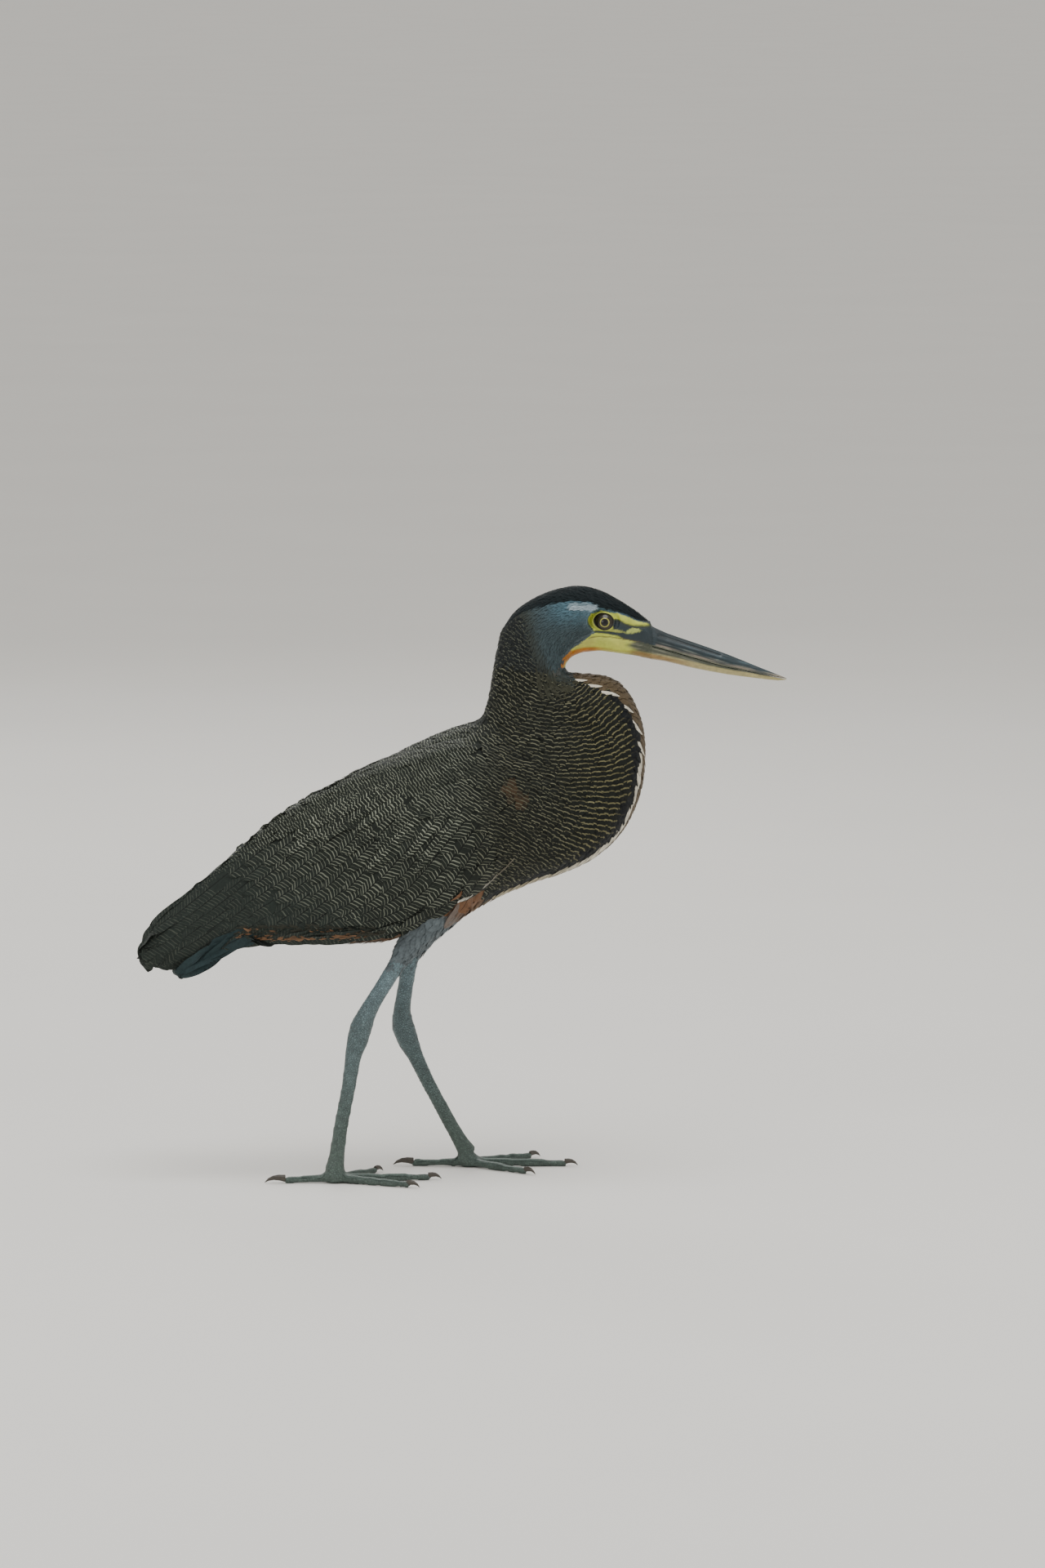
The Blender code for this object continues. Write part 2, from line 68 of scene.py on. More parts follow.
VIEW_CENTRE = Vector((0.0465, 0.0, 0.299))
VIEW_HEIGHT = 1.190
VIEW_ELEVATION = radians(7)
CAMERA_DISTANCE = 6.0
FILM = 36.0


def linear(code, alpha=1.0):
    """A #rrggbb colour as linear red, green, blue and alpha."""
    parts = [int(code[i:i + 2], 16) / 255 for i in (1, 3, 5)]
    return tuple([p / 12.92 if p <= 0.04045 else ((p + 0.055) / 1.055) ** 2.4 for p in parts] + [alpha])


def new_material(name, **finish):
    """A material with its surface shader, whose sockets take the finish: (material, shader)."""
    material = bpy.data.materials.new(name)
    material.use_nodes = True
    shader = material.node_tree.nodes["Principled BSDF"]
    for key, value in finish.items():
        shader.inputs[key.replace("_", " ")].default_value = value
    return material, shader


def wire(material, source, socket):
    """Joins a node's first output, or the output given, to a socket."""
    material.node_tree.links.new(getattr(source, "outputs", [source])[0], socket)


def add(material, kind, settings=None, **links):
    """Adds one node; settings fill its fields or sockets, links join its sockets to other nodes."""
    made = material.node_tree.nodes.new("ShaderNode" + kind)
    for key, value in (settings or {}).items():
        if isinstance(key, int) or key in made.inputs:
            made.inputs[key].default_value = value
        else:
            setattr(made, key, value)
    for key, source in links.items():
        wire(material, source, made.inputs[int(key[1:]) if key[1:].isdigit() else key.replace("_", " ")])
    return made


def deselect():
    for obj in bpy.context.selected_objects:
        obj.select_set(False)


deselect()
camera_data = bpy.data.cameras.new("camera")
camera_data.sensor_fit = "VERTICAL"
camera_data.sensor_height = FILM
camera_data.lens = FILM * CAMERA_DISTANCE / VIEW_HEIGHT
camera_data.clip_end = 200
camera = bpy.data.objects.new("camera", camera_data)
bpy.context.scene.collection.objects.link(camera)
camera.location = VIEW_CENTRE + CAMERA_DISTANCE * Vector((0, -cos(VIEW_ELEVATION), sin(VIEW_ELEVATION)))
camera.rotation_euler = (pi / 2 - VIEW_ELEVATION, 0, 0)
bpy.context.scene.camera = camera

bpy.ops.mesh.primitive_circle_add(vertices=96, radius=60, fill_type="NGON")
floor = bpy.context.object
floor.name = "studio_floor"
# Matt floor paint: pale and a little mottled, so that it takes a soft shadow and no reflection.
floor_paint, shader = new_material("matt_floor_paint", Roughness=0.9)
mottle = add(floor_paint, "TexNoise", {"Scale": 3.0, "Detail": 4.0},
             Vector=add(floor_paint, "TexCoord").outputs["Object"])
tint = add(floor_paint, "Mix", {"data_type": "RGBA", 6: linear("#ebe9e4"), 7: linear("#f1efea")}, _0=mottle)
wire(floor_paint, tint.outputs[2], shader.inputs["Base Color"])
floor.data.materials.append(floor_paint)
floor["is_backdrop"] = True

for name, place, size, power in (("sky_lamp", (0.2, -0.6, 3.0), 2.2, 52),
                                 ("window_lamp", (-2.0, -2.6, 1.6), 1.8, 18),
                                 ("fill_lamp", (2.2, -1.8, 1.0), 1.6, 8),
                                 ("back_lamp", (-0.6, 2.6, 2.0), 1.8, 18)):
    lamp_data = bpy.data.lights.new(name, "AREA")
    lamp_data.shape = "DISK"
    lamp_data.size = size
    lamp_data.energy = power
    lamp = bpy.data.objects.new(name, lamp_data)
    bpy.context.scene.collection.objects.link(lamp)
    lamp.location = place
    lamp.rotation_euler = (Vector((0.0, 0.0, 0.25)) - Vector(place)).to_track_quat("-Z", "Y").to_euler()

world = bpy.data.worlds.new("studio_air")
world.use_nodes = True
air = world.node_tree.nodes["Background"].inputs
air["Color"].default_value = linear("#eceae6")
air["Strength"].default_value = 0.85
bpy.context.scene.world = world

# ---------------------------------------------------------------------------
# Skin
# One hide over the whole body, from the bare face to the soles. It lies under the
# plumage by the coat's depth, and is bare and scaly on the face, throat and legs.

MM = 0.001
SIDES = ("left", "right")
FLESH = ["head", "neck_upper", "neck_lower", "trunk", "tail"]
FLESH += [part + "_" + side for part in ("wing", "primaries", "thigh", "shank", "tarsus", "foot")
          for side in SIDES]
HORN = ["bill_upper", "bill_lower"]
EYES = ["eye_" + side for side in SIDES]
HIDE_GRAIN = 1.9 * MM
MIDLINE = float(sum(corner.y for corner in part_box("bill_upper")) / 2)
BILL_ROOT = float(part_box("bill_upper")[0].x)


def activate(obj):
    deselect()
    obj.select_set(True)
    bpy.context.view_layer.objects.active = obj


def joined_copy(names, title):
    """The named frame nodes as one new object with its loose triangles merged."""
    copies = []
    for name in names:
        copy = bpy.data.objects.new(title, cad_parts[name].data.copy())
        bpy.context.scene.collection.objects.link(copy)
        copies.append(copy)
    activate(copies[0])
    for copy in copies:
        copy.select_set(True)
    if len(copies) > 1:
        bpy.ops.object.join()
    joined = bpy.context.object
    joined.name = title
    joined.data.materials.clear()
    bpy.ops.object.mode_set(mode="EDIT")
    bpy.ops.mesh.select_all(action="SELECT")
    bpy.ops.mesh.remove_doubles(threshold=0.00001)
    bpy.ops.object.mode_set(mode="OBJECT")
    return joined


def remeshed(obj, grain, passes):
    """Turns the object's mesh into even squares of one size, and smooths them."""
    activate(obj)
    remesh = obj.modifiers.new("even", "REMESH")
    remesh.mode = "VOXEL"
    remesh.voxel_size = grain
    bpy.ops.object.modifier_apply(modifier=remesh.name)
    smooth = obj.modifiers.new("soften", "SMOOTH")
    smooth.factor = 0.5
    smooth.iterations = passes
    bpy.ops.object.modifier_apply(modifier=smooth.name)
    bpy.ops.object.shade_smooth()
    return obj


def values_of(rows, field, width=3):
    """One field of all rows of a mesh's data."""
    flat = np.empty(len(rows) * width)
    rows.foreach_get(field, flat)
    return flat.reshape(-1, width)


def vertices_of(mesh):
    return values_of(mesh.vertices, "co")


def normals_of(mesh):
    return values_of(mesh.vertex_normals, "vector")


def move_vertices(mesh, places):
    mesh.vertices.foreach_set("co", places.ravel())
    mesh.update()


def ramp(value, low, high):
    """0 below low, 1 above high, and smooth between."""
    t = np.clip((value - low) / (high - low), 0, 1)
    return t * t * (3 - 2 * t)


def blend(a, b, share):
    return a + (b - a) * share[..., None]


def inside(outline, x, z):
    """Which points lie inside a closed outline in the side plane."""
    hit = np.zeros(x.shape, bool)
    for (x0, z0), (x1, z1) in zip(outline, outline[1:] + outline[:1]):
        if z0 != z1:
            crosses = (z0 > z) != (z1 > z)
            hit ^= crosses & (x < (x1 - x0) * (z - z0) / (z1 - z0) + x0)
    return hit


def reach(line, x, z):
    """Distance to a line of points, which side of it (+ on its left), and how far along it, 0 to 1."""
    best = np.full(x.shape, 1e9)
    side = np.zeros(x.shape)
    along = np.zeros(x.shape)
    spans = len(line) - 1
    for i in range(spans):
        (x0, z0), (x1, z1) = line[i], line[i + 1]
        dx, dz = x1 - x0, z1 - z0
        t = np.clip(((x - x0) * dx + (z - z0) * dz) / (dx * dx + dz * dz), 0, 1)
        gap = np.hypot(x - x0 - t * dx, z - z0 - t * dz)
        nearer = gap < best
        best = np.where(nearer, gap, best)
        side = np.where(nearer, np.sign(dx * (z - z0) - dz * (x - x0)), side)
        along = np.where(nearer, (i + t) / spans, along)
    return best, side, along


def colours(code, count):
    return np.tile(np.array(linear(code)[:3]), (count, 1))


def tinted(rows, code, share):
    """Colours with a share of one more colour laid over them."""
    return blend(rows, np.array(linear(code)[:3]), share)


# Places on the head in millimetres, in the side plane (forward, up).
EYE_AT = (107.9, 425.4)
EYE_OPENING = (7.3, 6.2)
BARE_FACE = [(96.4, 427.0), (98.5, 431.5), (106.6, 434.6), (112.5, 432.6), (118.4, 431.3), (125.0, 428.6),
             (130.2, 426.1), (136.0, 423.8), (145.0, 421.6), (160.0, 415.0), (160.0, 375.0),
             (143.0, 380.0), (100.0, 385.0), (79.0, 389.0), (74.6, 389.4), (75.5, 394.2), (79.4, 399.2),
             (83.7, 403.6), (88.7, 407.6), (93.6, 411.3), (98.4, 415.0), (101.4, 416.6), (100.2, 418.6),
             (97.6, 422.4)]
MOUTH = [(95.0, 411.8), (99.2, 413.4), (104.0, 413.8), (112.8, 413.3), (123.0, 411.6), (136.4, 409.1),
         (152.5, 404.8), (168.0, 400.4), (184.1, 395.4), (200.3, 391.0), (246.0, 380.5)]
BROW = [(113.5, 430.2), (118.5, 428.8), (124.0, 426.2), (130.0, 423.8), (143.2, 421.4)]
LORE_LINE = [(115.8, 426.0), (119.5, 425.2), (124.0, 422.6), (130.0, 420.7), (143.0, 420.6)]
GULAR = [(75.0, 389.5), (77.5, 395.0), (84.0, 400.4), (93.0, 402.6), (104.0, 402.8), (113.0, 401.6)]
CAP_EDGE = [(22.0, 396.0), (31.0, 416.0), (42.0, 428.5), (54.0, 434.0), (66.0, 437.5), (84.0, 440.2),
            (99.0, 438.6), (103.5, 435.8), (112.5, 432.6), (118.4, 431.3), (125.0, 428.6), (130.2, 426.1),
            (136.0, 423.8), (146.0, 421.4)]
PALE_PATCH = [(84.0, 436.6), (93.0, 436.2), (101.0, 435.6)]
LORES = [(113.8, 427.2), (118.9, 426.3), (123.0, 423.9), (129.2, 421.6), (135.3, 420.9), (143.1, 421.2),
         (152.0, 421.5), (152.0, 402.8), (137.5, 407.6), (130.2, 409.2), (123.4, 411.0), (119.5, 413.2),
         (115.0, 415.3), (110.0, 416.4), (113.4, 417.6), (114.6, 420.0), (114.2, 424.0)]
LOWER_LID_TAIL = [(110.0, 417.9), (114.0, 419.0), (118.4, 418.7), (123.4, 417.2), (120.5, 416.7),
                  (115.0, 417.2)]
LORE_PATCH = [(123.7, 416.3), (126.1, 418.2), (129.2, 419.7), (133.3, 419.3), (136.6, 417.7),
              (132.3, 416.6), (126.0, 415.8)]
EYE_SILL = [(98.0, 417.0), (101.5, 417.4), (106.0, 417.3), (111.0, 416.9), (117.0, 415.6)]
WING_BEND = [(37.0, 303.0), (45.5, 293.0)]
PLAIN_COVERT = (-76.0, 281.0)
FLANK = [(9.0, 220.0), (14.5, 222.0), (17.0, 216.0), (8.0, 207.0), (-4.0, 196.0), (-12.0, 200.0),
         (-6.0, 214.0)]
PLUME_LINE = [(76.0, 384.0), (88.0, 380.8), (99.2, 377.0), (114.7, 370.4), (124.8, 360.8),
              (131.5, 349.6), (135.2, 336.8), (136.4, 321.2), (134.5, 302.4), (129.2, 283.2),
              (122.5, 269.1), (112.9, 257.1), (99.2, 246.6), (83.8, 238.6), (71.3, 234.1), (56.6, 228.2),
              (38.0, 221.6), (24.0, 214.6)]

body = joined_copy(FLESH + HORN + EYES, "skin")
remeshed(body, HIDE_GRAIN, 4)
# The coat's surface is kept here, before the skin is cut and drawn in under it.
coat_co = vertices_of(body.data)
coat_normal = normals_of(body.data)
coat_quads = np.array([list(p.vertices) for p in body.data.polygons])
coat_edges = np.array([list(e.vertices) for e in body.data.edges])

solids = []
solid_faces = []
face_owner = []
for name in FLESH + HORN + EYES:
    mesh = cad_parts[name].data
    start = len(solids)
    solids += [v.co.copy() for v in mesh.vertices]
    solid_faces += [[start + i for i in polygon.vertices] for polygon in mesh.polygons]
    face_owner += [name] * len(mesh.polygons)
solid_tree = BVHTree.FromPolygons(solids, solid_faces)


def owners(places):
    """The name of the frame node nearest to each place."""
    return np.array([face_owner[solid_tree.find_nearest(Vector(p))[2]] for p in places])


def named(part, *starts):
    """Which rows belong to a node whose name starts in one of these ways."""
    return np.array([name.startswith(starts) for name in part])


coat_part = owners(coat_co)


def markings(co, part):
    """The bird's colours at points on its side: dark ground, pale bar colour and share of barring."""
    x = co[:, 0] / MM
    z = co[:, 2] / MM
    count = len(co)
    head = named(part, "head", "eye")
    neck = named(part, "neck")
    tail = named(part, "tail")
    wing = named(part, "wing", "primaries")
    leg = named(part, "thigh", "shank")
    dark = colours("#151813", count)
    pale = colours("#6b6b58", count)
    # The foreneck's pale bars turn yellower, the mantle's and wing's greyer and finer.
    pale = tinted(pale, "#757050", ramp(x, 60, 110) * neck)
    aft = ramp(-x, -40, 10)
    dark = tinted(dark, "#1c211c", aft)
    pale = tinted(pale, "#868a7b", aft)
    barred = np.ones(count)
    # The wing's lower rear, its tips and the tail fade to plain slate.
    slate = ramp(-(x * 0.55 + z), -205, -120) * wing
    dark = tinted(dark, "#232a26", slate)
    barred *= 1 - 0.74 * slate
    spot = np.hypot(x - PLAIN_COVERT[0], z - PLAIN_COVERT[1])
    barred *= 1 - 0.8 * wing * (1 - ramp(spot, 4, 9))
    dark = tinted(dark, "#273638", tail)
    barred *= ~tail
    # A rufous fleck at the bend of the wing.
    bend = 1 - ramp(reach(WING_BEND, x, z)[0], 2.0, 7.0)
    dark = tinted(dark, "#4a3826", bend * ~head * 0.55)
    # Median foreneck stripe: rufous brown, edged by white plume tips and a broken black band.
    gap, side, along = reach(PLUME_LINE, x, z)
    front = (neck | (~head & ~wing & ~tail & ~leg)) & (x > 18)
    out = gap * side
    brown = ramp(out, 0.4, 1.6) * front
    ragged = 1.3 * np.sin(along * 95) + 1.0 * np.sin(along * 41 + 1)
    breadth = 6.6 * ramp(along, 0.08, 0.34) * (1 - 0.45 * ramp(along, 0.68, 0.95))
    black = (1 - ramp(-out + ragged, breadth - 1.4, breadth + 1.2)) * ramp(-out, -1.6, -0.4) * front
    black *= ramp(along, 0.08, 0.18)
    dark = tinted(dark, "#0c1014", black)
    barred *= 1 - 0.95 * black
    dark = tinted(dark, "#574a37", brown)
    barred *= 1 - brown
    # Belly, vent and flank.
    low = ~head & ~neck & ~wing & ~tail & ~leg & ~front
    belly = low * ramp(-z, -234, -218)
    dark = tinted(dark, "#5d4631", belly)
    barred *= 1 - belly
    vent = low * ramp(-x, 60, 90) * ramp(-z, -200, -190)
    dark = tinted(dark, "#54402c", vent)
    flank = inside(FLANK, x, z) & ~tail & ~head
    dark = tinted(dark, "#70513a", flank)
    barred *= 1 - flank
    shin = colours("#5d666a", count)
    shin = tinted(shin, "#6b5a4e", ramp(x + 0.9 * (z - 200), -16, 2))
    shin = tinted(shin, "#6f513a", ramp(x + 0.9 * (z - 200), 0, 14))
    dark = blend(dark, shin, leg)
    barred *= ~leg
    # Head: black cap, pale patch behind the brow, blue-grey cheek, fine bars coming in behind it.
    gap, side, _ = reach(CAP_EDGE, x, z)
    cap = head & (side > 0)
    cap_share = np.where(cap, ramp(gap, 0.0, 1.5), 0)
    nape = neck & (z > 360) & (x < 84)
    cheek_foot = z + 0.3 * (x - 60) + 6 * ramp(x, 62, 70)
    cheek = (head | nape) * ramp(x - 0.25 * (405 - z), 48, 66) * ramp(cheek_foot, 387, 401)
    fine = head * (1 - cheek)
    dark = tinted(dark, "#1a1e1f", fine)
    pale = tinted(pale, "#52554a", fine)
    dark = tinted(dark, "#3f4c50", cheek)
    dark = tinted(dark, "#4b6874", cheek * ramp(z, 416, 436) * ramp(x, 56, 80))
    barred *= 1 - cheek
    patch = head * (1 - ramp(reach(PALE_PATCH, x, z)[0], 1.2, 3.6))
    dark = tinted(dark, "#9aaab2", patch)
    dark = tinted(dark, "#0b171a", cap_share)
    barred *= 1 - np.maximum(cap_share, patch)
    return dark, pale, barred


def face_colours(co, normal):
    """Colours of the bare face and bill at points on them."""
    x = co[:, 0] / MM
    z = co[:, 2] / MM
    y = np.abs(co[:, 1] - MIDLINE) / MM
    count = len(co)
    mouth_gap, mouth_side, _ = reach(MOUTH, x, z)
    upper = mouth_side > 0
    over_mouth = mouth_gap * mouth_side
    # Yellow-green skin round the eye; the lower mandible yellow at its root, pale horn along its edge.
    face = colours("#b7bf47", count)
    face = tinted(face, "#a3ad48", ramp(np.sin(x * 1.3) + np.sin(z * 1.7), 0.6, 1.8) * 0.4)
    # The skin behind the eye, which turns away from the lamps, is painted paler: painted light.
    face = tinted(face, "#cdd45e", (1 - ramp(x, 99, 103)) * (z > 416) * 0.8)
    lower = tinted(colours("#b9c052", count), "#8f8a56", ramp(x, 122, 138))
    # A paler round spot on the jaw below the eye is a painted highlight.
    lower = tinted(lower, "#cfd05c", (1 - ramp(np.hypot(x - 119, z - 408), 2, 8)) * 0.6)
    lower = tinted(lower, "#aea358", (1 - ramp(np.hypot(x - 94, z - 407), 3, 12)) * 0.5)
    # The lower mandible's upper half darkens from a third of the way out, its keel stays tan.
    streaky = ramp(np.sin(over_mouth * 2.1 + x * 0.05) + 0.4 * np.sin(x * 0.3), 0.2, 1.2)
    depth_there = np.interp(x, [125, 146, 190, 246], [8.5, 7.2, 4.6, 0.4])
    sunk = -over_mouth / np.maximum(depth_there, 0.3)
    reach_down = 0.34 - 0.16 * ramp(x, 150, 185)
    dusky = ramp(x + 3 * np.sin(z * 0.9), 124, 133) * (1 - ramp(sunk, 0.42 + reach_down, 0.72 + reach_down))
    lower = blend(lower, tinted(colours("#363d33", count), "#66675a", streaky), dusky * 0.94)
    lower = tinted(lower, "#a89c6c", ramp(x, 140, 160) * ramp(sunk, 0.66, 0.9) * 0.8)
    keel = ramp(x, 120, 134) * (1 - ramp(x, 150, 190)) * ramp(sunk, 0.88, 1.05)
    lower = tinted(lower, "#8a6a3a", keel * 0.8)
    culmen = tinted(colours("#0f2025", count), "#172b31", ramp(x, 150, 230))
    culmen = tinted(culmen, "#3c525a", streaky * ramp(-over_mouth, -9, -5) * ramp(x, 146, 168) * 0.5)
    culmen = tinted(culmen, "#5d6059", ramp(-over_mouth, -4.2, -2.0) * ramp(x, 140, 160) * streaky)
    lip = ramp(-over_mouth, -1.9, -0.9) * ramp(x, 130, 146) * (0.5 + 0.3 * np.sin(x * 0.21 + 1))
    culmen = tinted(culmen, "#857a6b", lip)
    face = blend(face, lower, ~upper)
    face = blend(face, culmen, upper * ramp(x + 1.0 * (z - 421) * (z > 418), 141.5, 144.5))
    # Dark lores between the brow and the mouth, with a yellow streak through them from below the eye.
    lores = inside(LORES, x, z) & upper
    gap = reach(LORES + LORES[:1], x, z)[0]
    lore_share = np.where(lores, 0.4 + 0.6 * ramp(gap, 0, 0.9), 0) * (1 - ramp(x, 146, 149))
    face = tinted(face, "#1c2b30", lore_share)
    gap = reach(LORE_LINE, x, z)[0]
    face = tinted(face, "#1f2a28", (1 - ramp(gap, 0.8, 1.8)) * upper * ramp(x, 113, 115) * 0.8)
    for shape, code in ((LOWER_LID_TAIL, "#a3a84a"), (LORE_PATCH, "#a9b35a")):
        rim = reach(shape + shape[:1], x, z)[0]
        bright = np.where(inside(shape, x, z), ramp(rim, -0.3, 0.5), 1 - ramp(rim, 0, 0.5))
        face = tinted(face, code, bright * upper * 0.95)
    gap, _, along = reach(EYE_SILL, x, z)
    sill = 0.45 + 0.6 * along + 0.5 * (1 - ramp(x, 98, 101))
    face = tinted(face, "#1f2f33", (1 - ramp(gap, sill, sill + 0.5)) * 0.95)
    mouth = (1 - ramp(mouth_gap, 0.15, 0.6)) * ramp(x, 94, 99) * (1 - ramp(x, 132, 140))
    face = tinted(face, "#4a3b2c", mouth * 0.8)
    gap = reach(GULAR, x, z)[0]
    under = ramp(-normal[:, 2], 0.55, 0.8) * (x < 150)
    throat = np.maximum(1 - ramp(gap, 1.6, 3.2), under * ramp(7.5 - y, 0, 1.5) * (1 - ramp(x, 108, 132)))
    face = tinted(face, "#b06f1c", throat * ~upper * (1 - 0.75 * ramp(x, 97, 112)))
    return face


def on_bare_face(co, part):
    x = co[:, 0] / MM
    bare = inside(BARE_FACE, x, co[:, 2] / MM) | (x > BILL_ROOT / MM - 1.0)
    return bare & named(part, "head", "eye", "bill")


def leg_colours(co):
    """Bare shanks, tarsi and toes: blue-grey above, duller and greener towards the toes."""
    z = co[:, 2] / MM
    tone = tinted(colours("#4f5e57", len(co)), "#566769", ramp(z, 15, 110))
    return tinted(tone, "#687c82", ramp(z, 115, 160))


# The face is cut finer, and finer again round the eye, so that lids, brow and mouth hold their shape.
FINE_FACE = [(92.0, 398.0), (92.0, 438.0), (146.0, 426.0), (146.0, 398.0)]
FINE_EYE = [(EYE_AT[0] + 13 * cos(tau * i / 24), EYE_AT[1] + 12 * sin(tau * i / 24)) for i in range(24)]


def in_edit_mode(obj, action="SELECT"):
    """Opens the object's mesh for edit tools, with all of it or none of it selected."""
    activate(obj)
    bpy.ops.object.mode_set(mode="EDIT")
    bpy.ops.mesh.select_all(action=action)


def tree_of(co, polygons):
    return BVHTree.FromPolygons([Vector(p) for p in co], [list(p.vertices) for p in polygons])


for region, smoothness in ((FINE_FACE, 0.6), (FINE_EYE, 0.3)):
    centres = values_of(body.data.polygons, "center")
    in_edit_mode(body, "DESELECT")
    bpy.ops.object.mode_set(mode="OBJECT")
    body.data.polygons.foreach_set("select", inside(region, centres[:, 0] / MM, centres[:, 2] / MM))
    bpy.ops.object.mode_set(mode="EDIT")
    bpy.ops.mesh.subdivide(number_cuts=1, smoothness=smoothness)
    bpy.ops.object.mode_set(mode="OBJECT")
in_edit_mode(body)
bpy.ops.mesh.bisect(plane_co=(BILL_ROOT + 1.0 * MM, 0, 0), plane_no=(1, 0, 0), clear_outer=True,
                    use_fill=True)
bpy.ops.object.mode_set(mode="OBJECT")

skin_co = vertices_of(body.data)
skin_normal = normals_of(body.data)
skin_part = owners(skin_co)
skin_bare = on_bare_face(skin_co, skin_part)
skin_leg = named(skin_part, "shank", "tarsus", "foot")
x = skin_co[:, 0] / MM
z = skin_co[:, 2] / MM

# Depth of the coat at each point in mm, never more than a third of what is there to draw in.
COAT_DEPTH = 2.6
THIN_COAT = {"head": 1.0, "tail": 1.2, "thigh": 1.6}
depth = np.full(len(skin_co), COAT_DEPTH)
for start, thin in THIN_COAT.items():
    depth[named(skin_part, start)] = thin
depth = depth * ~skin_bare * ~skin_leg
depth *= ramp(reach(BARE_FACE + BARE_FACE[:1], x, z)[0], 0.0, 3.0)
body_tree = tree_of(skin_co, body.data.polygons)
for i in np.nonzero(depth > 0)[0]:
    start = Vector(skin_co[i])
    inward = -Vector(skin_normal[i])
    far = body_tree.ray_cast(start + inward * 0.2 * MM, inward, 12 * MM)[3]
    if far is not None:
        depth[i] = min(depth[i], far / MM * 0.3)

# Lids: the skin hugs the eyeball as a thick rim with a fold outside it, and dips behind the ball.
peak = 0.8 * np.exp(-((x - 105.0) / 3.0) ** 2) * (z > EYE_AT[1])
ring = np.hypot((x - EYE_AT[0]) / EYE_OPENING[0], (z - EYE_AT[1]) / (EYE_OPENING[1] + peak))
side_facing = np.abs(skin_normal[:, 1]) > 0.35
headed = named(skin_part, "head", "eye") & side_facing
lift = np.zeros(len(skin_co))
for side in SIDES:
    low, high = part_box("eye_" + side)
    centre = np.array((low + high) / 2)
    ball = (high.y - low.y) / 2 / MM
    near = headed & (np.abs(skin_co[:, 1] - centre[1]) < 16 * MM)
    near &= (skin_co[:, 1] > MIDLINE) == (side == "left")
    away = (skin_co - centre) / MM
    gone = np.linalg.norm(away, axis=1)
    outward = np.sum(away * skin_normal, axis=1) / np.maximum(gone, 1e-6)
    hug = ball + 0.75 * ramp(ring, 0.96, 1.05) - 0.45 * np.exp(-((ring - 1.30) / 0.07) ** 2)
    hug -= 1.1 * (ring < 0.96)
    hug += 0.25 * np.exp(-((ring - 1.48) / 0.10) ** 2)
    move = (hug - gone) / np.clip(outward, 0.5, 1)
    lift += np.where(near, move * (1 - ramp(ring, 1.35, 1.75)), 0)
gap = reach(BROW, x, z)[0]
lift += np.exp(-(gap / 1.7) ** 2) * 0.8 * headed * ramp(ring, 1.3, 1.7)
gap = reach(LORE_LINE, x, z)[0]
lift -= np.exp(-(gap / 0.9) ** 2) * 0.45 * headed * ramp(ring, 1.3, 1.7)
for shape in (LOWER_LID_TAIL, LORE_PATCH):
    rim = reach(shape + shape[:1], x, z)[0]
    raised = np.where(inside(shape, x, z), ramp(rim, -0.6, 0.8), 1 - ramp(rim, 0, 0.6))
    lift += raised * 0.4 * headed * ramp(ring, 1.2, 1.6)
gap = reach(EYE_SILL, x, z)[0]
lift -= np.exp(-(gap / 0.6) ** 2) * 0.3 * headed
gap = reach(MOUTH, x, z)[0]
lift -= np.exp(-(gap / 0.45) ** 2) * 0.5 * named(skin_part, "head") * (x > 94)
lift += 0.35 * ramp(x, 134, 140) * named(skin_part, "head", "bill")
depth[x > BILL_ROOT / MM - 0.5] = 0.1
skin_co = skin_co + skin_normal * ((lift - depth) * MM)[:, None]
move_vertices(body.data, skin_co)


def keep_colours(mesh, name, rows, domain="POINT"):
    """Stores linear colours on the mesh as an attribute."""
    layer = mesh.attributes.new(name, "FLOAT_COLOR", domain)
    layer.data.foreach_set("color", np.column_stack([rows, np.ones(len(rows))]).ravel())


def surface(material, shader, strength, height, push, deep):
    """Colours the surface with the mesh's tone times a strength, and raises it by a height."""
    tone = add(material, "Attribute", {"attribute_name": "tone"})
    scaled = add(material, "VectorMath", {"operation": "SCALE"}, _0=tone, Scale=strength)
    wire(material, scaled, shader.inputs["Base Color"])
    bump = add(material, "Bump", {"Strength": push, "Distance": deep}, Height=height)
    wire(material, bump, shader.inputs["Normal"])


dark, pale, barred = markings(skin_co, skin_part)
skin_tone = blend(dark, pale, 0.3 * barred)
skin_tone = blend(skin_tone, face_colours(skin_co, skin_normal), skin_bare)
skin_tone = tinted(skin_tone, "#23241a", (1 - ramp(ring, 1.0, 1.08)) * headed)
skin_tone = blend(skin_tone, leg_colours(skin_co), skin_leg)
keep_colours(body.data, "tone", skin_tone)
keep_colours(body.data, "bare", np.column_stack([skin_bare, skin_leg, 0 * skin_leg]))

in_edit_mode(body)
bpy.ops.uv.smart_project(angle_limit=radians(66), island_margin=0.002)
bpy.ops.object.mode_set(mode="OBJECT")
body.data.uv_layers[0].name = "hide"

# Bird skin: soft, slightly greasy on the face, dry net-like scales of about 1.5 mm on the legs.
skin_hide, shader = new_material("bird_skin", Roughness=0.42, Specular_IOR_Level=0.45)
share_of = add(skin_hide, "SeparateColor", Color=add(skin_hide, "Attribute", {"attribute_name": "bare"}))
place = add(skin_hide, "TexCoord").outputs["Object"]
creased = add(skin_hide, "Mapping", {"Rotation": (0, radians(12), 0), "Scale": (0.35, 1.0, 1.0)},
              Vector=place)
pores = add(skin_hide, "TexNoise", {"Scale": 1100.0, "Detail": 5.0}, Vector=creased)
blotch = add(skin_hide, "TexNoise", {"Scale": 160.0, "Detail": 4.0}, Vector=place)
scales = add(skin_hide, "TexVoronoi", {"feature": "DISTANCE_TO_EDGE", "Scale": 640.0}, Vector=place)
plates = add(skin_hide, "TexVoronoi", {"Scale": 640.0}, Vector=place)
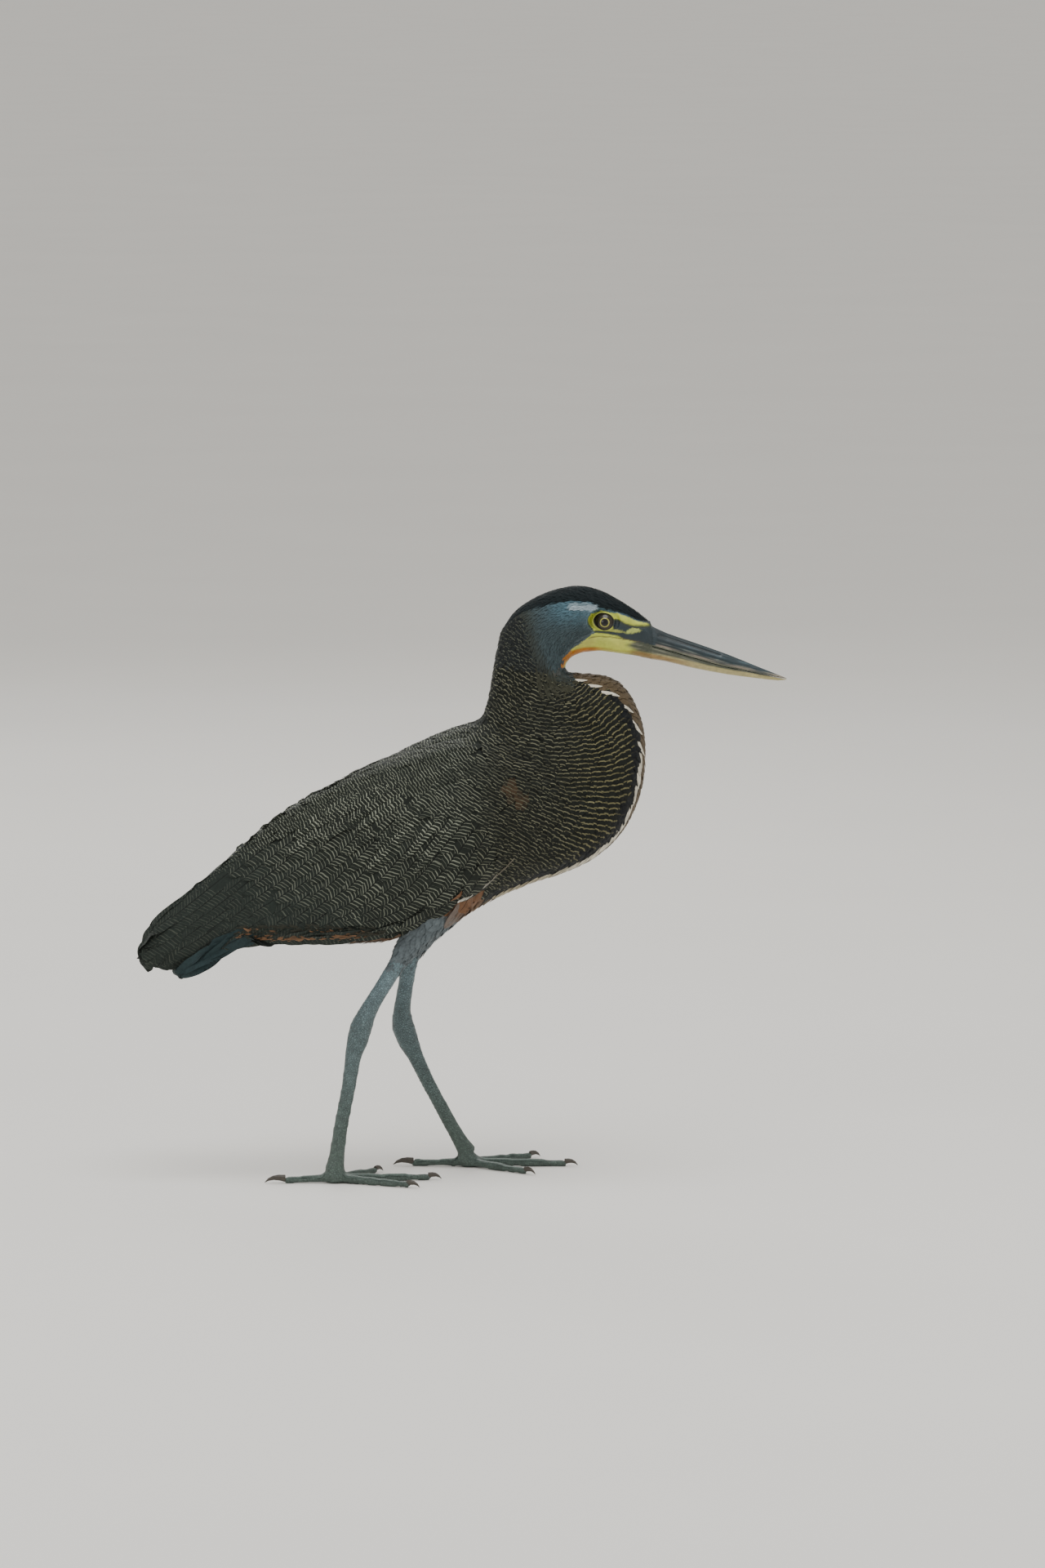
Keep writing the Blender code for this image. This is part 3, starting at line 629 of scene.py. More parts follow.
groove = add(skin_hide, "MapRange", {1: 0.0, 2: 0.16, 3: 0.0, 4: 1.0}, _0=scales)
plate_red = add(skin_hide, "SeparateColor", Color=plates.outputs["Color"])
plate_tone = add(skin_hide, "MapRange", {1: 0.0, 2: 1.0, 3: 0.84, 4: 1.16}, _0=plate_red)
groove_tone = add(skin_hide, "MapRange", {1: 0.0, 2: 1.0, 3: 0.66, 4: 1.0}, _0=groove)
both = add(skin_hide, "Math", {"operation": "MULTIPLY"}, _0=plate_tone, _1=groove_tone)
on_leg = add(skin_hide, "Mix", {"data_type": "FLOAT", 2: 1.0}, _0=share_of.outputs[1], _3=both)
blotched = add(skin_hide, "MapRange", {1: 0.35, 2: 0.65, 3: 0.86, 4: 1.12}, _0=blotch)
strength = add(skin_hide, "Math", {"operation": "MULTIPLY"}, _0=on_leg, _1=blotched)
relief = add(skin_hide, "Mix", {"data_type": "FLOAT"}, _0=share_of.outputs[1], _2=pores, _3=groove)
surface(skin_hide, shader, strength, relief, 0.7, 0.6 * MM)
body.data.materials.append(skin_hide)
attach(body, "root")
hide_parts(*FLESH)

# ---------------------------------------------------------------------------
# Bill
# A straight dagger in two horny sheaths, slate blue above and yellow to pale horn below,
# with a nostril groove near its root and a fine cutting edge all along.

NOSTRIL = [(150.0, 414.0), (158.0, 411.6), (172.0, 406.6), (196.0, 398.6)]
# Keratin: smooth and satin, ruled along its length by fine growth lines and a little worn.
bill_horn, shader = new_material("keratin_bill_sheath", Roughness=0.36, IOR=1.54)
place = add(bill_horn, "TexCoord").outputs["Object"]
drawn = add(bill_horn, "Mapping", {"Rotation": (0, radians(17), 0), "Scale": (0.08, 1.0, 1.0)},
            Vector=place)
grain = add(bill_horn, "TexNoise", {"Scale": 1400.0, "Detail": 4.0}, Vector=drawn)
wear = add(bill_horn, "TexNoise", {"Scale": 260.0, "Detail": 5.0}, Vector=place)
streak = add(bill_horn, "MapRange", {1: 0.3, 2: 0.7, 3: 0.8, 4: 1.18}, _0=grain)
worn = add(bill_horn, "MapRange", {1: 0.35, 2: 0.7, 3: 0.85, 4: 1.2}, _0=wear)
strength = add(bill_horn, "Math", {"operation": "MULTIPLY"}, _0=streak, _1=worn)
surface(bill_horn, shader, strength, grain, 0.3, 0.2 * MM)

for node in HORN:
    sheath = remeshed(joined_copy([node], node + "_sheath"), 0.5 * MM, 3)
    co = vertices_of(sheath.data)
    normal = normals_of(sheath.data)
    gap = reach(NOSTRIL, co[:, 0] / MM, co[:, 2] / MM)[0]
    side_on = np.abs(normal[:, 1]) > 0.4
    hollow = np.exp(-(gap / 0.9) ** 2) * 0.5 * side_on * (node == "bill_upper")
    gap = reach(MOUTH, co[:, 0] / MM, co[:, 2] / MM)[0]
    hollow += np.exp(-((gap - 1.6) / 0.5) ** 2) * 0.12 * side_on
    move_vertices(sheath.data, co - normal * (hollow * MM)[:, None])
    # The nostril groove and a fine line beside the mouth are darkened by their depth: painted shade in the
    # hollows.
    shades = tinted(face_colours(co, normal), "#151b1c", np.clip(hollow, 0, 0.6) * 0.9)
    keep_colours(sheath.data, "tone", shades)
    sheath.data.materials.append(bill_horn)
    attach(sheath, "root")
    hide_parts(node)

# ---------------------------------------------------------------------------
# Eyes
# Glass eyes set in the lids: black pupil, a thin yellow ring, a dark brown rim,
# and a clear raised cornea that catches the lamps.

# The glass's rings of colour, each with its distance from the eye's axis in mm.
IRIS_EDGE = 8.0
IRIS_RINGS = (("#040404", 0.0), ("#040404", 2.5), ("#3f3a18", 2.75), ("#8d8a3a", 3.05),
              ("#a3a046", 3.4), ("#2b2613", 3.75), ("#1b160e", 6.3), ("#2a2418", 7.4))
# How far each eye looks forward and up, for one step outward.
EYE_TURN = (-0.04, 0.11)
CORNEA_RISE = 0.35
CORNEA_SPREAD = 3.6
OUTWARD = {"left": 1, "right": -1}
for side, sign in OUTWARD.items():
    low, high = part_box("eye_" + side)
    centre = (low + high) / 2
    axis = Vector((EYE_TURN[0], sign, EYE_TURN[1])).normalized()
    ball = (high.y - low.y) / 2 - 0.1 * MM
    bpy.ops.mesh.primitive_uv_sphere_add(segments=96, ring_count=64, radius=ball)
    eye = bpy.context.object
    eye.name = "glass_eye_" + side
    turn = Vector((0, 0, 1)).rotation_difference(axis)
    co = vertices_of(eye.data)
    off = np.hypot(co[:, 0], co[:, 1]) / MM
    co[:, 2] += np.where(co[:, 2] > 0, np.exp(-(off / CORNEA_SPREAD) ** 2) * CORNEA_RISE * MM, 0)
    move_vertices(eye.data, co @ np.array(turn.to_matrix()).T + np.array(centre))
    bpy.ops.object.shade_smooth()
    # Painted glass: the rings lie under a thin clear coat that gives one sharp reflection.
    glass, shader = new_material("painted_glass_eye_" + side, Roughness=0.3, Specular_IOR_Level=0.2,
                                 Coat_Weight=0.5, Coat_Roughness=0.03)
    place = add(glass, "TexCoord").outputs["Object"]
    from_axis = add(glass, "VectorMath", {"operation": "SUBTRACT", 1: tuple(centre)}, _0=place)
    across = add(glass, "VectorMath", {"operation": "CROSS_PRODUCT", 1: tuple(axis)}, _0=from_axis)
    length = add(glass, "VectorMath", {"operation": "LENGTH"}, _0=across).outputs["Value"]
    fibres = add(glass, "TexNoise", {"Scale": 1500.0, "Detail": 3.0}, Vector=place)
    wobble = add(glass, "Math", {"operation": "MULTIPLY_ADD", 1: 0.3 * MM, 2: -0.15 * MM}, _0=fibres)
    reached = add(glass, "Math", {"operation": "ADD"}, _0=length, _1=wobble)
    spread = add(glass, "MapRange", {1: 0.0, 2: IRIS_EDGE * MM, 3: 0.0, 4: 1.0}, _0=reached)
    rings = add(glass, "ValToRGB", Fac=spread)
    while len(rings.color_ramp.elements) < len(IRIS_RINGS):
        rings.color_ramp.elements.new(0.5)
    for element, (code, ring_radius) in zip(rings.color_ramp.elements, IRIS_RINGS):
        element.position = ring_radius / IRIS_EDGE
        element.color = linear(code)
    wire(glass, rings, shader.inputs["Base Color"])
    eye.data.materials.append(glass)
    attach(eye, "root")
    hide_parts("eye_" + side)

# ---------------------------------------------------------------------------
# Claws
# Eight curved claws of dark horn, one over each toe's end.
# They are a little worn, and paler where the horn has grown out.

# Keratin: dark and satin, clouded by growth and paler where it is worn.
claw_horn, shader = new_material("dark_keratin_claw", Roughness=0.38, IOR=1.54)
growth = add(claw_horn, "TexNoise", {"Scale": 700.0, "Detail": 5.0},
             Vector=add(claw_horn, "TexCoord").outputs["Object"])
tint = add(claw_horn, "Mix", {"data_type": "RGBA", 6: linear("#201d19"), 7: linear("#4d463c")}, _0=growth)
wire(claw_horn, tint.outputs[2], shader.inputs["Base Color"])
bump = add(claw_horn, "Bump", {"Strength": 0.3, "Distance": 0.2 * MM}, Height=growth)
wire(claw_horn, bump, shader.inputs["Normal"])
CLAWS = [name for name in sorted(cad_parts) if name.startswith("claw")]
for name in CLAWS:
    claw = remeshed(joined_copy([name], name + "_horn"), 0.3 * MM, 3)
    claw.data.materials.append(claw_horn)
    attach(claw, "root")
    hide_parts(name)

# ---------------------------------------------------------------------------
# Head plumage
# Short dense feathers on the crown, cheeks and nape, each a thin closed vane rooted in
# the skin and lying back along the head. They are smallest round the eye and bill.

# The lie of the coat in the side plane: forward and up in millimetres, and the way it points in degrees.
LIE = ((143, 424, 150), (127, 436, 162), (107, 446, 172), (89, 452, 180), (58, 443, 206), (40, 429, 228),
       (25, 408, 262), (22, 378, 268), (17, 357, 250), (93, 424, 195), (71, 424, 210), (77, 405, 235),
       (53, 415, 235), (71, 395, 258), (46, 384, 265), (62, 380, 278), (79, 372, 308), (96, 368, 325),
       (113, 352, 322), (126, 330, 306), (129, 305, 284), (123, 277, 264), (112, 255, 242), (84, 240, 217),
       (53, 226, 210), (84, 340, 287), (96, 309, 280), (96, 277, 262), (77, 259, 238), (53, 340, 270),
       (53, 309, 260), (59, 277, 242), (46, 246, 220), (28, 327, 248), (22, 296, 238), (6, 346, 210),
       (-15, 343, 207), (-40, 321, 212), (-71, 302, 214), (-102, 284, 215), (-146, 252, 217),
       (-195, 215, 218), (-232, 178, 215), (-3, 290, 232), (-28, 259, 232), (9, 240, 240), (-15, 221, 226),
       (-71, 246, 228), (-102, 215, 218), (-53, 192, 200), (-102, 186, 194), (-152, 184, 202),
       (-164, 202, 214), (-195, 174, 210), (-195, 163, 212), (-71, 176, 188), (-28, 190, 196))
THIGH_LIE = 226.0
LIE_SOFTNESS = 40.0


def unit(rows):
    return rows / np.maximum(np.linalg.norm(rows, axis=-1, keepdims=True), 1e-12)


def lie(co, part):
    """The way the coat points at each place, before it is laid on the surface."""
    arrows = np.array(LIE, float)
    gap = (co[:, 0, None] / MM - arrows[:, 0]) ** 2 + (co[:, 2, None] / MM - arrows[:, 1]) ** 2
    pull = (gap + LIE_SOFTNESS) ** -2
    turn = np.radians(arrows[:, 2])
    flow = np.column_stack([pull @ np.cos(turn), np.zeros(len(co)), pull @ np.sin(turn)])
    flow[named(part, "thigh", "shank")] = (cos(radians(THIGH_LIE)), 0, sin(radians(THIGH_LIE)))
    return unit(flow)


def laid(flow, normal):
    return unit(flow - normal * np.sum(flow * normal, axis=-1, keepdims=True))


def mean_edges(corners):
    """The mean steps over each coat face, ahead and across, of values at its four corners."""
    first, second, third, fourth = corners[:, 0], corners[:, 1], corners[:, 2], corners[:, 3]
    return (second - first + third - fourth) / 2, (fourth - first + third - second) / 2


coat_flow = laid(lie(coat_co, coat_part), coat_normal)
quad_co = coat_co[coat_quads]
face_centre = quad_co.mean(axis=1)
quad_ahead, quad_across = mean_edges(quad_co)
face_normal = unit(coat_normal[coat_quads].mean(axis=1))
face_flow = laid(coat_flow[coat_quads].mean(axis=1), face_normal)
face_part = coat_part[coat_quads[:, 0]]
coat_tree = BVHTree.FromPolygons([Vector(p) for p in coat_co], coat_quads.tolist())
flow_vectors = [Vector(p) for p in face_flow]
normal_vectors = [Vector(p) for p in face_normal]
skin_tree = tree_of(skin_co, body.data.polygons)
hide = values_of(body.data.uv_layers["hide"].data, "uv", 2)
hide_starts = [p.loop_start for p in body.data.polygons]
rng = np.random.default_rng(11)


def on_part(*starts):
    return named(face_part, *starts)


def scatter(mask, spacing, tries):
    """Picks places on the masked faces so that no two are nearer than the spacing there, in mm."""
    picked = np.repeat(np.nonzero(mask)[0], tries)
    rng.shuffle(picked)
    jitter = rng.uniform(-0.5, 0.5, (len(picked), 2))
    quad = quad_co[picked]
    places = face_centre[picked] + (quad[:, 1] - quad[:, 0]) * jitter[:, :1]
    places += (quad[:, 3] - quad[:, 0]) * jitter[:, 1:]
    gaps = np.broadcast_to(spacing, len(mask))[picked] * MM
    cell = float(gaps.max())
    bins = {}
    kept = []
    keys = np.floor(places / cell).astype(int).tolist()
    for i, (key, spot, gap) in enumerate(zip(keys, places.tolist(), gaps.tolist())):
        cells_round = product(*[(k - 1, k, k + 1) for k in key])
        others = [other for near in cells_round for other in bins.get(near, ())]
        if not any((x - spot[0]) ** 2 + (y - spot[1]) ** 2 + (z - spot[2]) ** 2 < gap * gap
                   for x, y, z in others):
            bins.setdefault(tuple(key), []).append(spot)
            kept.append(i)
    return picked[kept], places[kept]


def follow(places, lengths, steps, twist, stiff=0.0, flip=0.15):
    """Walks each feather's midrib from its root along the lie of the coat.
    Gives the points, normals and faces on the way, each walk ending where the surface turns away."""
    count = len(places)
    path = np.empty((count, steps + 1, 3))
    face = np.empty((count, steps + 1), int)
    turns = np.broadcast_to(twist, count)
    for i in range(count):
        here = Vector(places[i])
        stride = float(lengths[i]) / steps
        c, s = cos(turns[i]), sin(turns[i])
        heading = None
        for step in range(steps + 1):
            spot, _, index, _ = coat_tree.find_nearest(here)
            path[i, step] = spot
            face[i, step] = index
            normal = normal_vectors[index]
            flow = flow_vectors[index]
            flow = flow * c + normal.cross(flow) * s
            heading = flow if heading is None else heading * stiff + flow * (1 - stiff)
            heading = (heading - normal * heading.dot(normal)).normalized()
            here = spot + heading * stride
    normals = face_normal[face]
    turned = np.sum(normals * normals[:, :1], axis=2) < flip
    last = np.where(turned.any(axis=1), np.maximum(turned.argmax(axis=1) - 1, 1), steps)
    at = np.linspace(0, 1, steps + 1)[None, :] * last[:, None]
    low = np.minimum(np.floor(at).astype(int), steps - 1)
    share = (at - low)[..., None]
    rows = np.arange(count)[:, None]
    path = path[rows, low] * (1 - share) + path[rows, low + 1] * share
    normals = unit(normals[rows, low] * (1 - share) + normals[rows, low + 1] * share)
    normals[:, 1:-1] = unit(normals[:, :-2] + normals[:, 1:-1] * 2 + normals[:, 2:])
    face = np.where(share[..., 0] < 0.5, face[rows, low], face[rows, low + 1])
    return path, normals, face


def along_path(values, grid):
    """Values held at even steps along each feather, read at the grid's places along it."""
    steps = values.shape[1] - 1
    at = np.clip(grid, 0, 1) * steps
    low = np.minimum(np.floor(at).astype(int), steps - 1)
    share = at - low
    rows = np.arange(len(values)).reshape((-1,) + (1,) * (grid.ndim - 1))
    first, second = values[rows, low], values[rows, low + 1]
    if values.ndim == 3:
        share = share[..., None]
    return first * (1 - share) + second * share


def outline(v, root, crest, blunt):
    """A vane's half width from root to tip, as a share of its widest."""
    rise = root + (1 - root) * np.sin(pi / 2 * np.clip(v / crest, 0, 1))
    fall = np.clip(1 - np.clip((v - crest) / (1 - crest), 0, 1) ** blunt, 0, 1) ** 0.6
    return np.maximum(rise * fall, 0.02)


def even_grid(count, rows, columns, first=0.0, last=0.96):
    return np.broadcast_to(np.linspace(first, last, rows)[None, :, None], (count, rows, columns)).copy()


# Feather keratin: matt vanes with a soft sheen, ruled by fine barbs that run out and forward from
# the shaft. Real barbs are 0.2 mm apart; they are drawn at 0.6 mm so that they show.
feather_vane, shader = new_material("feather_keratin", Roughness=0.62, Specular_IOR_Level=0.18,
                                    Sheen_Weight=0.05, Sheen_Roughness=0.4)
axes = add(feather_vane, "SeparateXYZ", _0=add(feather_vane, "UVMap", {"uv_map": "barbs"}))
out_from = add(feather_vane, "Math", {"operation": "ABSOLUTE"}, _0=axes)
swept = add(feather_vane, "Math", {"operation": "MULTIPLY_ADD", 1: -1.3}, _0=out_from, _2=axes.outputs[1])
phase = add(feather_vane, "Math", {"operation": "MULTIPLY", 1: tau / 0.6}, _0=swept)
ruled = add(feather_vane, "Math", {"operation": "SINE"}, _0=phase)
dust = add(feather_vane, "TexNoise", {"Scale": 420.0, "Detail": 4.0},
           Vector=add(feather_vane, "TexCoord").outputs["Object"])
barb_tone = add(feather_vane, "MapRange", {1: -1.0, 2: 1.0, 3: 0.9, 4: 1.06}, _0=ruled)
dust_tone = add(feather_vane, "MapRange", {1: 0.3, 2: 0.7, 3: 0.82, 4: 1.18}, _0=dust)
strength = add(feather_vane, "Math", {"operation": "MULTIPLY"}, _0=barb_tone, _1=dust_tone)
surface(feather_vane, shader, strength, ruled, 0.35, 0.15 * MM)

# The size of a vane's patch on the bake map.
PATCH = 0.003
# How soon a vane comes up out of the skin along its length.
RISE_FROM_ROOT = 1.3


def vanes(title, path, normal, width, grid, columns, cells, slot, shape, lift, camber, sink=None,
          roll=0.0, halves=False, finish=feather_vane):
    """Makes one joined mesh of thin closed vanes.
    grid holds how far along each vane its rows lie, columns how far across; cells are the colours of
    the faces between them. Each vane starts in the skin and its tip lies on the coat's surface."""
    count, rows, across = grid.shape
    columns = np.asarray(columns, float)
    tangent = np.gradient(path, axis=1)
    sideways = unit(np.cross(tangent, normal))
    points = along_path(path, grid)
    up = unit(along_path(normal, grid))
    side = unit(along_path(sideways, grid))
    roots = np.empty(count)
    root_uv = np.empty((count, 2))
    for i in range(count):
        spot, _, index, gap = skin_tree.find_nearest(Vector(path[i, 0]))
        roots[i] = gap / MM
        corners = body.data.polygons[index].vertices
        near = 1 / ((skin_co[list(corners)] - np.array(spot)) ** 2).sum(axis=1).clip(1e-12)
        start = hide_starts[index]
        root_uv[i] = (hide[start:start + len(corners)] * near[:, None]).sum(axis=0) / near.sum()
    if sink is not None:
        roots = np.minimum(roots, sink)
    half = np.broadcast_to(width, count)[:, None, None] * outline(grid, *shape)
    sits = np.broadcast_to(lift, count)[:, None, None] * grid
    height = sits - (roots[:, None, None] + 0.15) * (1 - np.clip(grid, 0, 1)) ** RISE_FROM_ROOT
    tilt = np.broadcast_to(roll, count)[:, None, None]
    height = height + half * (tilt * columns - camber * 2 * columns ** 2 * np.minimum(1, 0.3 + 2 * grid))
    body_points = points + side * (columns * half)[..., None] * MM + up * height[..., None] * MM
    tip = path[:, -1] + normal[:, -1] * (np.broadcast_to(lift, count)[:, None] * MM)
    lean = unit(up + side * (camber * 3 * columns - tilt)[..., None])
    verts = np.concatenate([body_points.reshape(count, -1, 3), tip[:, None]], axis=1)
    leans = np.concatenate([lean.reshape(count, -1, 3), normal[:, -1][:, None]], axis=1)
    per = rows * across + 1
    end = per - 1
    faces, cell_of = [], []
    for r in range(rows - 1):
        for c in range(across - 1):
            at = r * across + c
            faces.append((at, at + 1, at + across + 1, at + across))
            cell_of.append((r, c))
        at = r * across
        faces.append((at + across - 1, at, at + across, at + 2 * across - 1))
        cell_of.append((r, (across - 1) // 2))
    at = (rows - 1) * across
    for c in range(across - 1):
        faces.append((at + c, at + c + 1, end))
        cell_of.append((rows - 1, c))
    faces.append((at + across - 1, at, end))
    cell_of.append((rows - 1, (across - 1) // 2))
    faces.append(tuple(range(across - 1, -1, -1)))
    cell_of.append((0, 0))
    sizes = np.array([len(f) for f in faces])
    loops = np.concatenate([np.array(f) for f in faces])
    all_loops = (loops[None, :] + np.arange(count)[:, None] * per).ravel()
    all_sizes = np.tile(sizes, count)
    mesh = bpy.data.meshes.new(title)
    mesh.vertices.add(count * per)
    mesh.vertices.foreach_set("co", verts.ravel())
    mesh.loops.add(len(all_loops))
    mesh.polygons.add(len(all_sizes))
    starts = np.concatenate([[0], np.cumsum(all_sizes)[:-1]])
    mesh.polygons.foreach_set("loop_start", starts.astype(np.int32))
    mesh.polygons.foreach_set("vertices", all_loops.astype(np.int32))
    mesh.update(calc_edges=True)
    mesh.polygons.foreach_set("use_smooth", np.ones(len(all_sizes), bool))
    cells = np.broadcast_to(cells, (count, rows, across - 1, 3))
    r_of, c_of = np.array(cell_of).T
    keep_colours(mesh, "tone", np.repeat(cells[:, r_of, c_of], sizes, axis=1).reshape(-1, 3), "CORNER")
    # A patch of the bake map for each vane at its root; barred vanes keep bars and ground in two halves.
    v_of = np.concatenate([grid.reshape(count, -1), np.ones((count, 1))], axis=1)
    u_of = np.concatenate([np.tile(columns, rows), [0.0]])
    wide = np.concatenate([half.reshape(count, -1), np.zeros((count, 1))], axis=1)
    long = np.linalg.norm(np.diff(path, axis=1), axis=2).sum(axis=1) / MM
    barb = np.stack([u_of[loops][None, :] * wide[:, loops], v_of[:, loops] * long[:, None]], axis=2)
    patch = np.stack([np.broadcast_to(u_of[loops] / 2, (count, len(loops))), v_of[:, loops] - 0.5], axis=2)
    bake = root_uv[:, None, :] + patch * PATCH
    bake = np.clip(bake, 0.002, 0.998)
    if halves:
        bright = np.repeat(halves_of(cells, r_of, c_of), sizes, axis=1)
        bake[..., 0] = bake[..., 0] * 0.5 + 0.5 * bright
    for name, rows_of in (("OFBake", bake), ("barbs", barb)):
        layer = mesh.uv_layers.new(name=name)
        layer.data.foreach_set("uv", rows_of.reshape(-1))
    under = np.array([len(f) > 4 or (f[0] % across == across - 1 and f[1] % across == 0) for f in faces])
    facing = np.repeat(np.where(under, -1.0, 1.0), sizes)
    mesh.normals_split_custom_set((leans[:, loops] * facing[None, :, None]).reshape(-1, 3))
    piece = bpy.data.objects.new(title, mesh)
    bpy.context.scene.collection.objects.link(piece)
    mesh.materials.append(finish)
    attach(piece, "root")


def halves_of(cells, r_of, c_of):
    """1 for the faces of a vane's pale bars and 0 for its ground."""
    bright = cells.sum(axis=3)
    middle = (bright.max(axis=(1, 2)) + bright.min(axis=(1, 2)))[:, None] / 2
    return (bright[:, r_of, c_of] > middle).astype(float)


def shaded(tones, *steps):
    """Each vane's colour stepped in brightness from its root to its tip: painted shade at the root, which
    lies under the vanes over it, and painted light at the exposed tip.
    """
    return tones[:, None, None, :] * np.array(steps)[None, :, None, None]


def tones_at(face, spread):
    """Ground, bar colour and barring where each feather shows, with small differences between feathers."""
    spot = face[:, int(face.shape[1] * 0.7)]
    dark, pale, barred = markings(face_centre[spot], face_part[spot])
    vary = rng.normal(1.0, spread, (len(dark), 1))
    return dark * vary, pale * rng.normal(1.0, spread * 1.5, (len(dark), 1)), barred


face_x = face_centre[:, 0] / MM
face_z = face_centre[:, 2] / MM
bare_faces = on_bare_face(face_centre, face_part)
edge_gap = reach(BARE_FACE + BARE_FACE[:1], face_x, face_z)[0]
head_zone = on_part("head") & ~bare_faces & (edge_gap > 0.7)
plain_head = head_zone & (markings(face_centre, face_part)[2] < 0.6)
face_pick, places = scatter(plain_head, 1.25, 14)
gap, side, _ = reach(CAP_EDGE, face_x[face_pick], face_z[face_pick])
lengths = 2.6 + 3.0 * ramp(edge_gap[face_pick], 0, 14) + 3.4 * (side > 0) * ramp(gap, 0, 5)
lengths = lengths * rng.uniform(0.85, 1.15, len(places)) * MM
path, normal, face = follow(places, lengths, 3, rng.normal(0, 0.12, len(places)))
dark, pale, barred = tones_at(face, 0.05)
vanes("head_feathers", path, normal, lengths / MM * 0.15, even_grid(len(places), 3, 3, 0.0, 0.9),
      (-1, 0, 1), shaded(blend(dark, pale, 0.3 * barred), 0.92, 0.98, 1.03), "head_plumage",
      shape=(0.6, 0.45, 1.6), lift=0.11, camber=0.12, roll=rng.normal(0, 0.03, len(places)))

# ---------------------------------------------------------------------------
# Neck plumage
# Loose overlapping feathers of near-black with pale bars. The bars of neighbouring feathers
# meet in long wavy lines round the neck, so one count of bars runs over the whole coat.

# From one bar to the next in mm, over the coat and on the neck's front. A bar's share of that,
# and how far its ends bow back from its middle, in bars.
BAR_STEP = 3.0
BAR_STEP_FRONT = 3.5
BAR_SHARE = 0.23
BAR_ARCH = 0.16
# The most rounds that the count of bars takes to settle.
COUNT_ROUNDS = 500


def counted(flow, step, kept):
    """A height over the coat that rises by one in each step along the flow, over the kept edges."""
    first, second = coat_edges[kept].T
    span = (coat_co[second] - coat_co[first]) / MM
    wanted = np.sum((flow[first] + flow[second]) / 2 * span, axis=1) / ((step[first] + step[second]) / 2)
    count = len(coat_co)

    def spread(values):
        return np.bincount(second, values, count) - np.bincount(first, values, count)

    held = spread(wanted)
    height = np.zeros(count)
    left = held.copy()
    push = left.copy()
    size = left @ left
    for _ in range(COUNT_ROUNDS):
        pushed = spread(push[second] - push[first]) + push * 1e-7
        share = size / (push @ pushed)
        height += share * push
        left -= share * pushed
        smaller = left @ left
        if smaller < 1e-6:
            break
        push = left + push * smaller / size
        size = smaller
    return height


coat_x = coat_co[:, 0] / MM
bar_step = BAR_STEP + (BAR_STEP_FRONT - BAR_STEP) * ramp(coat_x, 40, 110)
bar_step -= 0.5 * ramp(-coat_x, -30, 20)
bar_step -= 0.8 * ramp(coat_co[:, 2] / MM, 375, 410)
bar_count = counted(coat_flow, bar_step, np.ones(len(coat_edges), bool))
wave = np.sin(coat_x * 0.45 + 3 * np.sin(coat_co[:, 2] / MM * 0.11)) * np.sin(coat_co[:, 1] / MM * 0.5 + 1)
bar_count += 0.12 * wave


def slope(values):
    """Each coat face's middle value, and the value's slope over the face."""
    corners = values[coat_quads]
    ahead, across = mean_edges(corners)
    long = np.sum(quad_ahead * quad_ahead, axis=1)
    wide = np.sum(quad_across * quad_across, axis=1)
    skew = np.sum(quad_ahead * quad_across, axis=1)
    free = np.maximum(long * wide - skew * skew, 1e-18)
    steep = (ahead * wide - across * skew) / free
    tilted = (across * long - ahead * skew) / free
    return corners.mean(axis=1), quad_ahead * steep[:, None] + quad_across * tilted[:, None]


count_middle, count_slope = slope(bar_count)


def in_order(grid, least):
    """Keeps a vane's rows in order from root to tip, each at least a little past the last."""
    least = np.arange(grid.shape[1])[None, :, None] * least
    return np.clip(np.maximum.accumulate(np.maximum(grid, least), axis=1), 0, 0.955 + least / 3)


def bar_cells(dark, bar, bars):
    """Colours of a vane's rows, ground and bar by turns, with ground at the root and the tip."""
    rows = np.arange(2 * bars + 2)
    is_bar = (rows % 2 == 1) & (rows < rows[-1])
    return np.where(is_bar[None, :, None, None], bar[:, None, None, :], dark[:, None, None, :])


def barred_vanes(title, places, lengths, width, steps, bars, slot, twist, scatter_bars, faintest,
                 **settings):
    """Feathers whose bars fall where the coat's own count of bars says, each bar a little bowed."""
    path, normal, face = follow(places, lengths, steps, twist)
    count = len(path)
    columns = np.array((-1, -0.45, 0.45, 1))
    off = path - face_centre[face]
    phase = count_middle[face] + np.sum(count_slope[face] * off, axis=2)
    sideways = unit(np.cross(np.gradient(path, axis=1), normal))
    drift = np.sum(count_slope[face] * sideways, axis=2)[:, steps // 2] * MM
    phase = np.maximum.accumulate(phase + np.arange(steps + 1) * 1e-5, axis=1)
    phase = phase + rng.normal(0, 1, (count, 1)) * np.broadcast_to(scatter_bars, count)[:, None]
    top = np.floor(phase[:, -1] - 0.02)
    marks = [top[:, None] - k + part for k in range(bars - 1, -1, -1) for part in (0.0, BAR_SHARE)]
    marks = np.concatenate(marks, axis=1)
    shift = drift[:, None] * np.broadcast_to(width, count)[:, None] * columns - BAR_ARCH * columns ** 2
    grid = np.empty((count, 2 * bars + 2, len(columns)))
    stops = np.linspace(0, 1, steps + 1)
    for i in range(count):
        for c in range(len(columns)):
            grid[i, 1:-1, c] = np.interp(marks[i] - shift[i, c], phase[i], stops)
    grid[:, 0] = 0
    grid[:, -1] = 0.97
    dark, pale, barred = tones_at(face, 0.06)
    bar = blend(dark, pale, barred * (faintest + (1 - faintest) * rng.random(count)))
    vanes(title, path, normal, width, in_order(grid, 0.004), columns, bar_cells(dark, bar, bars), slot,
          halves=True, **settings)


